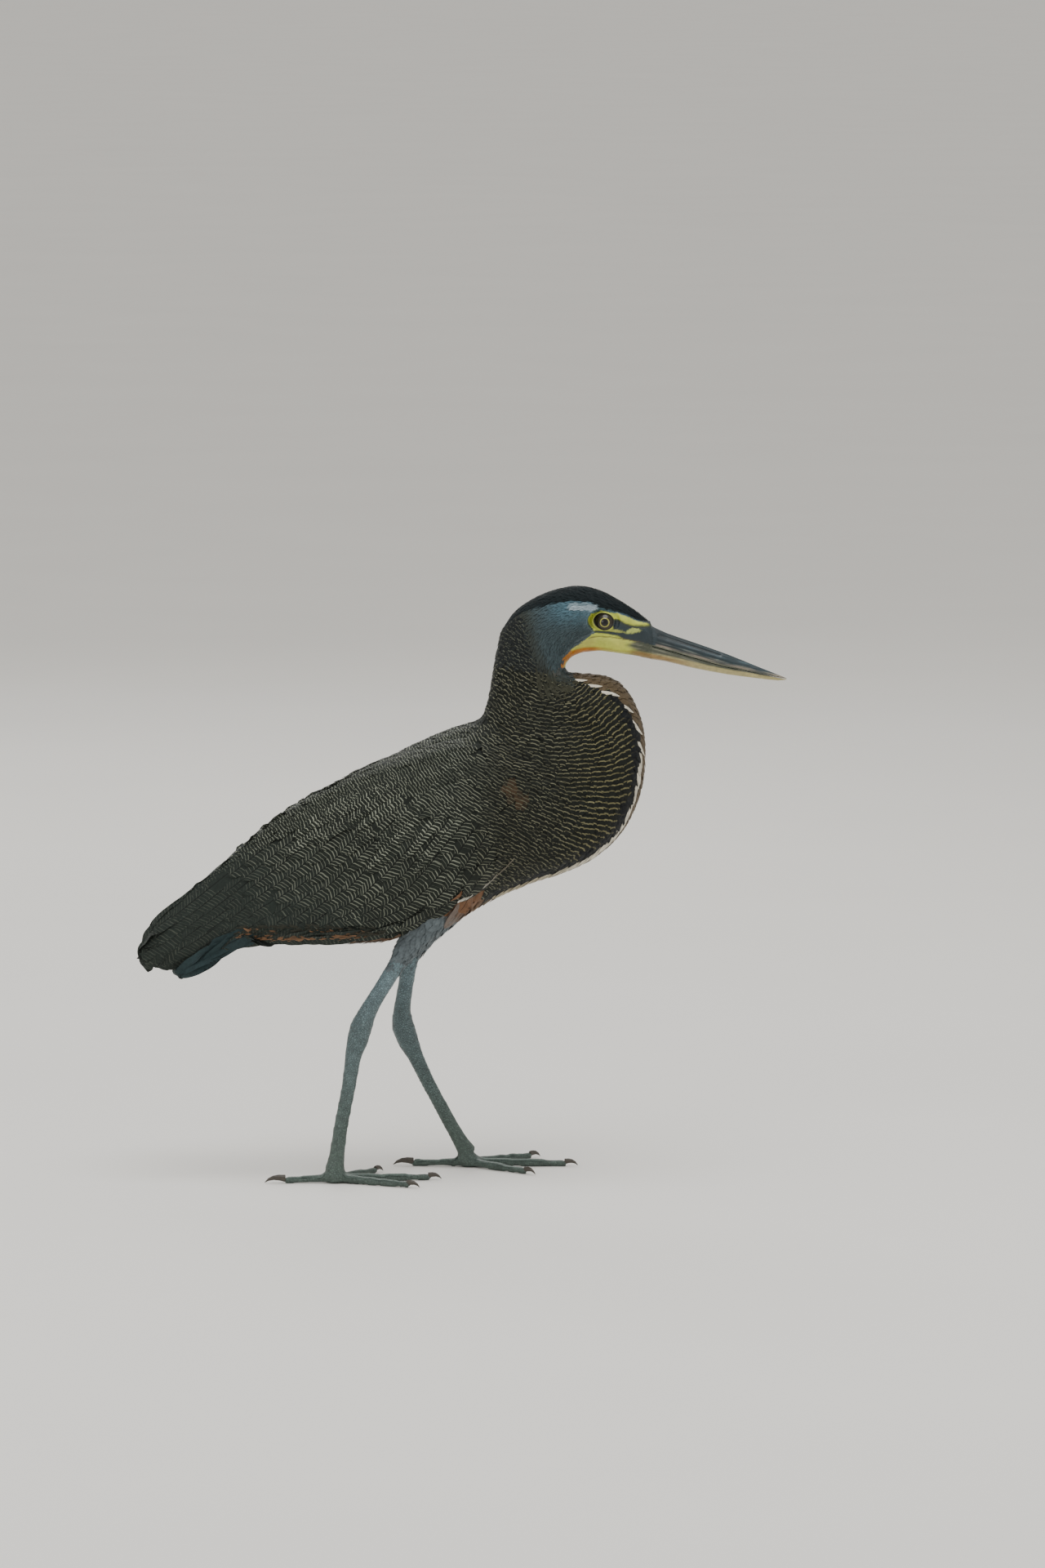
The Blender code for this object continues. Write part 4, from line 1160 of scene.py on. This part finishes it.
# The edge from back to belly where the neck's feathers meet the wing's.
WING_SHOULDER = [(-75.0, 338.0), (-38.0, 317.0), (-3.0, 304.0), (22.0, 296.0), (34.0, 282.0),
                 (40.0, 268.0), (43.0, 250.0), (44.0, 235.0)]
gap, side, _ = reach(WING_SHOULDER, face_x, face_z)
ahead = np.where(side > 0, gap, -gap)
neck_zone = on_part("neck") | (on_part("trunk") & (face_x > -6) & (face_z > 214))
neck_zone |= on_part("wing") & (ahead > -6 - 5 * ramp(face_z, 265, 300))
neck_zone |= head_zone & ~plain_head
neck_zone &= ~(on_part("trunk") & (face_normal[:, 2] < -0.75) & (face_x < 40))
high_up = ramp(face_z, 375, 402)
near_wing = ramp(-face_x, -45, -10)
face_pick, places = scatter(neck_zone, 3.3 - 1.1 * high_up + 0.6 * near_wing, 5)
left_half = places[:, 1] > MIDLINE
for side, chosen in (("left", left_half), ("right", ~left_half)):
    spots = places[chosen]
    small = high_up[face_pick[chosen]]
    large = near_wing[face_pick[chosen]]
    front = ramp(spots[:, 0] / MM, 62, 104)
    lengths = (12 - 4.5 * small + 3.5 * large) * rng.uniform(0.88, 1.12, len(spots)) * MM
    barred_vanes("neck_feathers_" + side, spots, lengths, lengths / MM * 0.29, 6, 3, "barred_plumage",
                 rng.normal(0, 0.10, len(spots)), shape=(0.45, 0.5, 2.0), lift=0.3 - 0.1 * small,
                 camber=0.07, scatter_bars=0.06 + 0.16 * (1 - front), faintest=0.35 + 0.3 * front,
                 sink=1.5, roll=rng.normal(0, 0.05, len(spots)))


def loose_feathers(zone, spacing, tries, span, steps, ruffle, lean=0.0):
    """Feathers of random lengths and turns over a zone: (roots, lengths, path, normal, face)."""
    places = scatter(zone, spacing, tries)[1]
    lengths = rng.uniform(*span, len(places)) * MM
    return places, lengths, *follow(places, lengths, steps, rng.normal(lean, ruffle, len(places)))


# The throat's corner, where the lie parts round the gullet, is closed by a tuft of small feathers.
corner = np.hypot(face_x - 70, face_z - 386) < 15
corner &= on_part("head", "neck") & ~(bare_faces & (edge_gap > 0.5))
places, lengths, path, normal, face = loose_feathers(corner, 1.7, 8, (5.5, 8.0), 3, 0.2)
dark, pale, barred = tones_at(face, 0.05)
vanes("throat_corner_feathers", path, normal, lengths / MM * 0.17, even_grid(len(places), 3, 3, 0.0, 0.9),
      (-1, 0, 1), shaded(blend(dark, pale, 0.2 * barred), 0.95, 1.0, 1.03), "head_plumage",
      shape=(0.6, 0.45, 1.6), lift=0.35, camber=0.1, sink=0.35)

# ---------------------------------------------------------------------------
# Foreneck plumes
# Lance-shaped feathers edge the brown stripe down the foreneck. Their long tips are white on the
# outer web, so they read as one ragged white line against a black one.

PLUME_STEPS = 6
# Where the plumes start along the stripe's edge, in mm: single ones, then a close row of them.
PLUME_STARTS = (2.0, 14.0, 27.0, 45.0, 60.5, 76.0)
MERGED_FROM = 88.0
PLUME_PITCH = 2.4
# A place in metres beyond the bird on either side of its middle.
CLEAR_OF_BODY = 0.12


def measured(line):
    """A line's points, and the distance run along it at each."""
    points = np.array(line)
    return points, np.concatenate([[0], np.cumsum(np.hypot(*np.diff(points, axis=0).T))])


plume_line, plume_run = measured(PLUME_LINE)


def beside_line(run, out):
    """Places in the side plane a run along the plume line and a way out from it, in mm."""
    run = np.minimum(run, plume_run[-1] - 0.5)
    at = [np.interp(run + step, plume_run, plume_line[:, k]) for step in (-1.5, 0.0, 1.5) for k in (0, 1)]
    ahead = unit(np.stack([at[4] - at[0], at[5] - at[1]], axis=-1))
    return at[2] - ahead[..., 1] * out, at[3] + ahead[..., 0] * out


def from_side(x, z, sign):
    """The coat's surface seen square on from one side: (place, normal), or None beyond its edge."""
    start = Vector((x * MM, MIDLINE + sign * CLEAR_OF_BODY, z * MM))
    spot, _, index, _ = coat_tree.ray_cast(start, Vector((0, -sign, 0)))
    return None if spot is None else (np.array(spot), face_normal[index])


def traced(x, z, sign):
    """Places and normals under a run of points in the side plane, or None if one is beyond the edge."""
    found = [from_side(*spot, sign) for spot in zip(x.tolist(), z.tolist())]
    return None if None in found else list(zip(*found))


for side, sign in OUTWARD.items():
    paths, normals, white_at = [], [], []
    along = np.linspace(0, 1, PLUME_STEPS + 1)
    for start in [*PLUME_STARTS, *np.arange(MERGED_FROM, plume_run[-1] - 12, PLUME_PITCH)]:
        alone = start < MERGED_FROM
        long = rng.uniform(17, 20) if alone else rng.uniform(14, 20)
        inner, outer = -2.4, 2.0
        if not alone:
            inner, outer = rng.uniform(-1.2, 0.6) * np.array([1.0, 0.3]) + (-0.3, 0.3)
        found = traced(*beside_line(start + long * along, inner + (outer - inner) * along), sign)
        if found:
            paths.append(found[0])
            normals.append(found[1])
            white_at.append(start)
    count = len(paths)
    white_at = np.array(white_at)
    white = colours("#cdc7b6", count) * rng.normal(1, 0.07, (count, 1))
    white = tinted(white, "#9c9176", ramp(white_at, 175, 225) * 0.75)
    cells = np.broadcast_to(white[:, None, None, :], (count, 8, 5, 3)).copy()
    alone = white_at < MERGED_FROM
    inner_web = 0 if sign < 0 else 4
    cells[alone, :, inner_web] = linear("#0f1316")[:3]
    cells[alone, :2] = linear("#0f1316")[:3]
    cells[:, 0] = linear("#14171a")[:3]
    wide = np.where(alone, 2.15, 2.45 - 0.8 * ramp(white_at, 160, 205) - 0.4 * ramp(white_at, 225, 250))
    hang = ramp(white_at, 140, 175) * (1 - ramp(white_at, 235, 258))
    vanes("foreneck_plumes_" + side, np.array(paths), unit(np.array(normals)), wide, even_grid(count, 8, 6),
          (-1, -0.5, -0.1, 0.1, 0.5, 1), cells, "barred_plumage", shape=(0.35, 0.55, 1.3),
          lift=rng.uniform(0.5, 0.9, count) + 0.9 * hang, camber=0.14, sink=0.6)

# ---------------------------------------------------------------------------
# Mantle
# The back's feathers between the wings, finely flecked over the shoulders. They shorten
# towards the ridge where the wings meet.

mantle_zone = (on_part("trunk") & (face_normal[:, 2] > -0.1) & (face_z > 225) & (face_x < 10))
mantle_zone |= on_part("wing", "primaries") & (face_normal[:, 2] > 0.45)
face_pick, places = scatter(mantle_zone, 4.0 - 0.8 * ramp(-face_x, 50, 85), 5)
ridge = ramp(-places[:, 0] / MM, 50, 85)
lengths = 17 + 8 * ramp(-places[:, 0] / MM, -10, 40) - 11 * ridge
lengths = lengths * rng.uniform(0.9, 1.1, len(places)) * MM
barred_vanes("mantle_feathers", places, lengths, lengths / MM * (0.22 - 0.06 * ridge), 8, 4,
             "barred_plumage", rng.normal(0, 0.08, len(places)) * (1 - ridge), shape=(0.4, 0.5, 2.0),
             lift=0.5 - 0.35 * ridge, camber=0.07, scatter_bars=0.3, faintest=0.4, sink=1.5,
             roll=rng.normal(0, 0.04, len(places)) * (1 - ridge))

# ---------------------------------------------------------------------------
# Scapulars and wing coverts
# Long lances with bright bars lie back along the top of each wing. Below them broad feathers
# run down the wing in long strips, each with a dark shaft and pale chevrons.

# How far from its face's middle a root may lie, in faces, and from the root before it, in mm.
FACE_REACH = 0.52
ROOT_GAP = 2.0


def lattice(mask, wide, long, stagger=0.5):
    """Root places in staggered rows over the masked faces: wide apart across the lie, long along it."""
    across_flow = np.cross(coat_normal, coat_flow)
    near = np.zeros(len(coat_co), bool)
    near[coat_quads[mask].ravel()] = True
    kept = near[coat_edges[:, 0]] & near[coat_edges[:, 1]]
    strip_mid, strip_slope = slope(counted(across_flow, np.full(len(coat_co), wide), kept))
    row_mid, row_slope = slope(counted(coat_flow, np.full(len(coat_co), long), kept))
    column = np.round(strip_mid)
    shift = np.where(column % 2 == 0, 0.0, stagger)
    target = np.round(row_mid - shift) + shift
    m00, m01 = np.sum(strip_slope * quad_ahead, axis=1), np.sum(strip_slope * quad_across, axis=1)
    m10, m11 = np.sum(row_slope * quad_ahead, axis=1), np.sum(row_slope * quad_across, axis=1)
    free = m00 * m11 - m01 * m10
    free = np.where(np.abs(free) < 1e-9, 1e-9, free)
    ds, dr = column - strip_mid, target - row_mid
    p = (ds * m11 - dr * m01) / free
    q = (dr * m00 - ds * m10) / free
    hit = mask & (np.abs(p) <= FACE_REACH) & (np.abs(q) <= FACE_REACH)
    places = face_centre[hit] + quad_ahead[hit] * p[hit, None] + quad_across[hit] * q[hit, None]
    kept_places = []
    for spot in places:
        if all(np.sum((spot - other) ** 2) > (ROOT_GAP * MM) ** 2 for other in kept_places[-40:]):
            kept_places.append(spot)
    return np.array(kept_places)


# How bright a feather's shaft is beside its ground.
SHAFT_SHADE = 0.4


def chevron_vanes(title, places, lengths, width, steps, bars, step, start, slot, sweep=0.2, hook=0.16,
                  bar_share=0.2, strength=1.0, stiff=0.5, flip=0.15, **settings):
    """Broad feathers with their own bars: each hooks up from a dark shaft, then runs out to the edge."""
    path, normal, face = follow(places, lengths, steps, 0.0, stiff, flip)
    count = len(path)
    columns = np.array((-1, -0.7, -0.4, -0.2, -0.055, 0.055, 0.2, 0.4, 0.7, 1))
    long = np.linalg.norm(np.diff(path, axis=1), axis=2).sum(axis=1) / MM
    marks = [1 - (start + k * step - part * step) / long for k in range(bars - 1, -1, -1)
             for part in (0.0, bar_share)]
    marks = np.stack(marks, axis=1) + rng.uniform(-0.5, 0.5, (count, 1)) * step / long[:, None]
    out = np.abs(columns)
    slant = rng.normal(0, 0.09, (count, 1)) * columns
    bend = hook * np.exp(-(out / 0.17) ** 2) - sweep * out ** 1.4 + slant
    shift = bend * np.broadcast_to(width, count)[:, None] / long[:, None]
    grid = np.empty((count, 2 * bars + 2, len(columns)))
    wobble = rng.normal(0, 0.06 * step, (count, 2 * bars, 1)) / long[:, None, None]
    uneven = rng.normal(0, 0.04 * step, (count, bars, len(columns))).repeat(2, axis=1)
    wobble = wobble + uneven / long[:, None, None]
    grid[:, 1:-1] = marks[:, :, None] + shift[:, None, :] + wobble
    grid[:, 0] = 0
    grid[:, -1] = 0.97
    dark, pale, barred = tones_at(face, 0.06)
    bar = blend(dark, pale, barred * strength * rng.uniform(0.7, 1.0, count))
    cells = np.repeat(bar_cells(dark, bar, bars), len(columns) - 1, axis=2)
    cells[:, :, len(columns) // 2 - 1] = dark[:, None, :] * SHAFT_SHADE
    vanes(title, path, normal, width, in_order(grid, 0.002), columns, cells, slot, halves=True, **settings)


# Roots of the scapulars in the side plane, in mm.
SCAPULARS = ((-6, 318), (-22, 320), (-38, 316), (-54, 310), (-70, 303), (-86, 293), (-14, 309), (-30, 307),
             (0, 302), (-46, 304), (9, 297), (-60, 296), (-76, 289), (-92, 280), (-20, 298), (-36, 296))
for side, sign in OUTWARD.items():
    places = np.array([from_side(*spot, sign)[0] for spot in SCAPULARS])
    lengths = (rng.uniform(62, 82, len(places)) - 24 * ramp(-places[:, 0] / MM, 40, 76)) * MM
    chevron_vanes("scapulars_" + side, places, lengths, 4.6, 14, 22, 2.8, 0.4, "wing_plumage",
                  sweep=0.12, hook=0.2, bar_share=0.23, strength=1.1, stiff=0.6, flip=0.6,
                  shape=(0.4, 0.4, 1.8), lift=1.1, camber=0.08, sink=0.4, roll=0.04 * sign)

along_wing = face_x * 0.55 + face_z
for side, sign in OUTWARD.items():
    covert_zone = on_part("wing_" + side) & (along_wing > 128) & (ahead < 6)
    covert_zone &= (face_normal[:, 1] * sign > -0.1) & (face_normal[:, 2] < 0.5)
    places = lattice(covert_zone, 9.6, 17.0)
    lengths = (34 + 12 * ramp(-places[:, 0] / MM, -20, 60)) * rng.uniform(0.9, 1.1, len(places)) * MM
    lengths -= 9 * ramp(places[:, 2] / MM, 290, 320) * MM
    chevron_vanes("covert_feathers_" + side, places, lengths, 8.2, 10, 10, 3.05, 0.6, "wing_plumage",
                  strength=0.8, shape=(0.4, 0.5, 2.2), lift=0.4, camber=0.05,
                  roll=0.045 * sign + rng.normal(0, 0.012, len(places)))

# ---------------------------------------------------------------------------
# Flight feathers
# Long stiff blades of the lower wing, folded one over the other, their tips ending the wing.
# They are plainer than the coverts, and their bars slant back more.

for side, sign in OUTWARD.items():
    flight_zone = on_part("wing_" + side, "primaries_" + side) & (along_wing < 185) & (along_wing > 20)
    flight_zone &= (face_normal[:, 1] * sign > -0.1) & (face_normal[:, 2] < 0.5)
    flight_zone &= ~((face_z < 194) & (face_x > -146))
    places = lattice(flight_zone, 7.6, 24.0, 0.35)
    lengths = rng.uniform(66, 92, len(places)) * MM
    chevron_vanes("flight_feathers_" + side, places, lengths, 8.0, 16, 14, 2.9, 1.0, "wing_plumage",
                  sweep=0.35, strength=0.55, stiff=0.8, shape=(0.4, 0.5, 2.6), lift=0.25,
                  camber=0.04, sink=0.8, roll=0.03 * sign)

# ---------------------------------------------------------------------------
# Tertials
# Barred blades that lie lengthwise, to one side and the other by turns, over the line where the
# two folded wings meet on the back.

TERTIAL_LENGTH = 46.0
TERTIAL_STEPS = 10
TERTIAL_BARS = 15
# A bar's share of the feather's length.
BAR_BREADTH = 0.017
paths, normals = [], []
for i, start in enumerate(np.arange(-92.0, -196.0, -8.0)):
    run = []
    for x in start - np.linspace(0, TERTIAL_LENGTH, TERTIAL_STEPS):
        above = [Vector((x * MM, MIDLINE + y * MM, 0.5)) for y in (-5.0, -3.5, 3.5, 5.0)]
        tops = [coat_tree.ray_cast(place, Vector((0, 0, -1)))[0] for place in above]
        heights = [spot.z for spot in tops if spot is not None]
        if heights:
            run.append((x * MM, MIDLINE + (1 if i % 2 else -1) * 1.3 * MM, max(heights)))
    if len(run) == TERTIAL_STEPS:
        slant = np.gradient(np.array(run), axis=0)
        paths.append(run)
        normals.append(np.column_stack([slant[:, 2], 0 * slant[:, 1], -slant[:, 0]]))
paths = np.array(paths)
aft = ramp(-paths[:, 0, 0] / MM, 120, 190)
slate = tinted(colours("#262c28", len(paths)), "#232c2e", aft)
bars = np.linspace(0.0, 0.97, TERTIAL_BARS)
stops = np.sort(np.concatenate([bars, bars[1:] - BAR_BREADTH]))
grid = np.broadcast_to(stops[None, :, None], (len(paths), len(stops), 6)).copy()
grid[:, 1:-1] -= 0.025 * np.array([1.0, 0.4, 0.0, 0.0, 0.4, 1.0])
cells = np.broadcast_to(slate[:, None, None, :], (len(paths), len(stops), 5, 3)).copy()
cells[:, 1::2] = tinted(slate, "#868a7b", 0.75 - 0.4 * aft)[:, None, None, :]
cells[:, :, 2] = slate[:, None, :] * SHAFT_SHADE
vanes("tertials", paths, unit(np.array(normals)), 4.8, grid, (-1, -0.55, -0.06, 0.06, 0.55, 1), cells,
      "wing_plumage", shape=(0.4, 0.5, 2.4), lift=0.5, camber=0.08, sink=0.4)

# ---------------------------------------------------------------------------
# Wing hem
# A white edge along the wing's lower front, thin above and widening to a small tuft below.
# It is one row of narrow feathers, laid along the wing's edge and rooted in the skin.

# How far apart the hem's feathers start, and how long they are, in mm.
HEM_PITCH = 1.1
HEM_SPAN = (8, 11)
WING_HEM = [(45.3, 254.0), (40.3, 248.7), (34.1, 241.4), (26.7, 235.0), (19.2, 227.8), (11.8, 222.6),
            (4.5, 218.6), (-3.0, 216.4)]
hem_line, hem_run = measured(WING_HEM)
for side, sign in OUTWARD.items():
    paths, normals, low_down = [], [], []
    for start in np.arange(2.0, hem_run[-1] - 6.0, HEM_PITCH):
        run = np.minimum(start + np.linspace(0, 1, 5) * rng.uniform(*HEM_SPAN), hem_run[-1])
        out = rng.uniform(-0.5, 0.5)
        x, z = [np.interp(run, hem_run, hem_line[:, k]) for k in (0, 1)]
        found = traced(x, z + out, sign)
        if found:
            paths.append(found[0])
            normals.append(found[1])
            low_down.append(start / hem_run[-1])
    low_down = np.array(low_down)
    # The hem is dull grey-brown at its top and whitens below; the dull top is painted shade.
    white = tinted(colours("#6b665a", len(paths)), "#c9c6ba", ramp(low_down, 0.25, 0.7))
    vanes("wing_hem_" + side, np.array(paths), unit(np.array(normals)), 0.28 + 1.2 * low_down ** 2.2,
          even_grid(len(paths), 4, 3, 0.0, 0.94), (-1, 0, 1), white[:, None, None, :], "wing_plumage",
          shape=(0.5, 0.45, 1.4), lift=0.7 + 1.3 * low_down ** 2, camber=0.1, sink=0.3)

# ---------------------------------------------------------------------------
# Vent fluff
# Rufous fluff of the vent and flank hangs a little below the folded wing.
# It is dark at its lowest barbs and where it comes out under the wing.

for side, sign in OUTWARD.items():
    fringe = (face_x > -160) & (face_x < -46) & (face_z < 194) & (face_z > 176) & ~on_part("tail", "thigh")
    fringe &= (face_normal[:, 1] * sign > 0.1)
    places, lengths, path, normal, face = loose_feathers(fringe, 1.9, 6, (8, 13), 4, 0.3, 0.3 * sign)
    tuft = colours("#6b503a", len(places)) * rng.normal(1, 0.14, (len(places), 1))
    tuft = tinted(tuft, "#24221a", 1 - ramp(places[:, 2] / MM, 180, 184))
    tuft = tinted(tuft, "#2b2c25", ramp(places[:, 2] / MM, 188.5, 191))
    vanes("vent_fluff_" + side, path, normal, lengths / MM * 0.13, even_grid(len(places), 4, 3, 0.0, 0.92),
          (-1, 0, 1), shaded(tuft, 0.8, 0.95, 1.05, 1.1), "barred_plumage", shape=(0.5, 0.4, 1.3),
          lift=rng.uniform(0.6, 2.0, len(places)), camber=0.1, sink=0.4)

# ---------------------------------------------------------------------------
# Tail
# Twelve slate feathers in a closed fan, laid over and under the tail.
# Each is a broad stiff blade with a dark shaft, a little darker towards its tip.

TAIL_FEATHERS = 12
TAIL_STEPS = 10
tail_low, tail_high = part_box("tail")
tail_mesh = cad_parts["tail"].data
tail_tree = tree_of(vertices_of(tail_mesh), tail_mesh.polygons)
paths, normals = [], []
reaches = np.linspace(0, 1, TAIL_STEPS + 1)
for down in (-1, 1):
    for i in range(TAIL_FEATHERS):
        share = (i + 0.5) / TAIL_FEATHERS * 2 - 1
        hits = []
        for t in reaches:
            x = tail_high.x - 4 * MM + (tail_low.x + 3 * MM + 12 * MM * share ** 2 - tail_high.x) * t
            y = MIDLINE + share * (6 * MM + 12.5 * MM * t)
            start = Vector((x, y, 0.25 if down < 0 else 0.1))
            spot, normal, _, _ = tail_tree.ray_cast(start, Vector((0, 0, down)))
            if spot is not None:
                hits.append((t, *spot, *normal))
        hits = np.array(hits)
        held = np.column_stack([np.interp(reaches, hits[:, 0], hits[:, k]) for k in range(1, 7)])
        stretched = np.linspace(hits[0, 0], hits[-1, 0], TAIL_STEPS + 1)
        held = np.column_stack([np.interp(stretched, reaches, held[:, k]) for k in range(6)])
        paths.append(held[:, :3])
        normals.append(held[:, 3:])
count = len(paths)
dark = colours("#2b3a3c", count) * rng.normal(1, 0.06, (count, 1))
cells = np.broadcast_to(dark[:, None, None, :], (count, 12, 5, 3)).copy()
cells[:, :, 2] *= 0.5
cells[:, 8:] *= 0.85
layer = np.tile(np.abs(np.arange(TAIL_FEATHERS) - 5.5) * -0.12 + 0.9, 2)
vanes("tail_feathers", np.array(paths), unit(np.array(normals)), 7.0, even_grid(count, 12, 6, 0.0, 0.97),
      (-1, -0.55, -0.07, 0.07, 0.55, 1), cells, "tail_plumage", shape=(0.6, 0.6, 2.6), lift=layer,
      camber=0.03, sink=0.4)

# ---------------------------------------------------------------------------
# Belly, flank and thigh plumage
# Soft loose feathers, rufous and grey, that fray over the thighs and under the vent.
# They have no bars, and stand a little off the coat.


def soft_coat(title, zone, spacing, tries, span, ruffle, spread, shades, lifts, slot):
    """Loose plain feathers over a zone, as one piece."""
    steps = len(shades)
    places, lengths, path, normal, face = loose_feathers(zone, spacing, tries, span, steps, ruffle)
    dark = tones_at(face, spread)[0]
    vanes(title, path, normal, lengths / MM * 0.2, even_grid(len(places), steps, 3, 0.0, 0.94), (-1, 0, 1),
          shaded(dark, *shades), slot, shape=(0.5, 0.5, 1.6), lift=rng.uniform(*lifts, len(places)),
          camber=0.1)


soft_coat("belly_feathers", on_part("trunk") & ~neck_zone & ~mantle_zone, 3.8, 4, (14, 20), 0.14, 0.12,
          (0.75, 0.9, 1.0, 1.1, 1.15), (0.2, 0.9), "barred_plumage")
soft_coat("thigh_feathers", on_part("thigh"), 2.5, 5, (8, 12), 0.16, 0.10, (0.75, 0.9, 1.0, 1.12),
          (0.1, 0.6), "thigh_plumage")

# ---------------------------------------------------------------------------
# Toe scutes
# Rows of curved horny plates over the top of each toe, each overlapping the next one
# towards the claw. They grow from the skin, and end where the claw starts.

SCUTE_STEP = 2.3
# Keratin scales: dry and satin, with grime in the hollows.
scute_horn, shader = new_material("scaly_toe_keratin", Roughness=0.46, Specular_IOR_Level=0.4)
grime = add(scute_horn, "TexNoise", {"Scale": 520.0, "Detail": 5.0},
            Vector=add(scute_horn, "TexCoord").outputs["Object"])
worn = add(scute_horn, "MapRange", {1: 0.3, 2: 0.7, 3: 0.78, 4: 1.2}, _0=grime)
surface(scute_horn, shader, worn, grime, 0.3, 0.2 * MM)

# The middle of each foot (forward, across), and a height that every toe lies under, in mm.
TOE_HUB = {"left": (5.3, 27.6), "right": (-95.7, -44.4)}
TOE_CLEAR = 12.0


def plate_rows(title, rows, width):
    """A row of overlapping plates along each run of (place, normal, thickness) on the skin."""
    paths, normals, wide = [], [], []
    for run in rows:
        for i in range(len(run) - 3):
            spots, facing, thick = zip(*run[i:i + 4])
            paths.append(spots)
            normals.append(facing)
            wide.append(width * thick[0])
    paths = np.array(paths)
    tones = leg_colours(paths[:, 1]) * rng.normal(1.0, 0.07, (len(paths), 1))
    vanes(title, paths, unit(np.array(normals)), np.array(wide), even_grid(len(paths), 5, 6, 0.0, 0.97),
          (-1, -0.6, -0.2, 0.2, 0.6, 1), shaded(tones, 0.7, 0.95, 1.05, 1.12, 1.12), "leg_skin",
          shape=(0.9, 0.5, 5.0), lift=0.28, camber=0.27, sink=0.2, finish=scute_horn)


toe_rows = []
for side, (hub_x, hub_y) in TOE_HUB.items():
    for name in [claw for claw in CLAWS if side in claw]:
        middle = sum(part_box(name), Vector()) / 2 / MM
        heading = Vector((middle.x - hub_x, middle.y - hub_y, 0)).normalized()
        run = []
        for far in np.arange(8.0, 60.0, SCUTE_STEP / 2):
            above = (Vector((hub_x, hub_y, TOE_CLEAR)) + heading * float(far)) * MM
            spot, normal, _, _ = skin_tree.ray_cast(above, Vector((0, 0, -1)))
            if spot is None or normal.z < 0.3:
                continue
            if spot.z < 3.2 * MM:
                break
            run.append((np.array(spot), np.array(normal) + (0, 0, 2), spot.z / MM / 2))
        toe_rows.append(run[::2])
plate_rows("toe_scutes", toe_rows, 0.82)

# ---------------------------------------------------------------------------
# Tarsus scutes
# One row of the same plates down the front of each bare lower leg, from under the ankle
# to just above the foot.

shin_rows = []
for side in SIDES:
    tarsus = vertices_of(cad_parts["tarsus_" + side].data)
    low, high = tarsus[:, 2].min(), tarsus[:, 2].max()
    run = []
    for height in np.arange(high - 8 * MM, low + 6 * MM, -SCUTE_STEP * MM):
        middle = tarsus[np.abs(tarsus[:, 2] - height) < 12 * MM].mean(axis=0)
        start = Vector((middle[0] + 30 * MM, middle[1], height))
        spot, normal, _, _ = skin_tree.ray_cast(start, Vector((-1, 0, 0)))
        if spot is not None:
            run.append((np.array(spot), np.array(normal) + (2, 0, 0), 3.0))
    shin_rows.append(run)
plate_rows("tarsus_scutes", shin_rows, 0.85)

size = {"cad": cad_box, "visual": [list(corner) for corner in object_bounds()]}
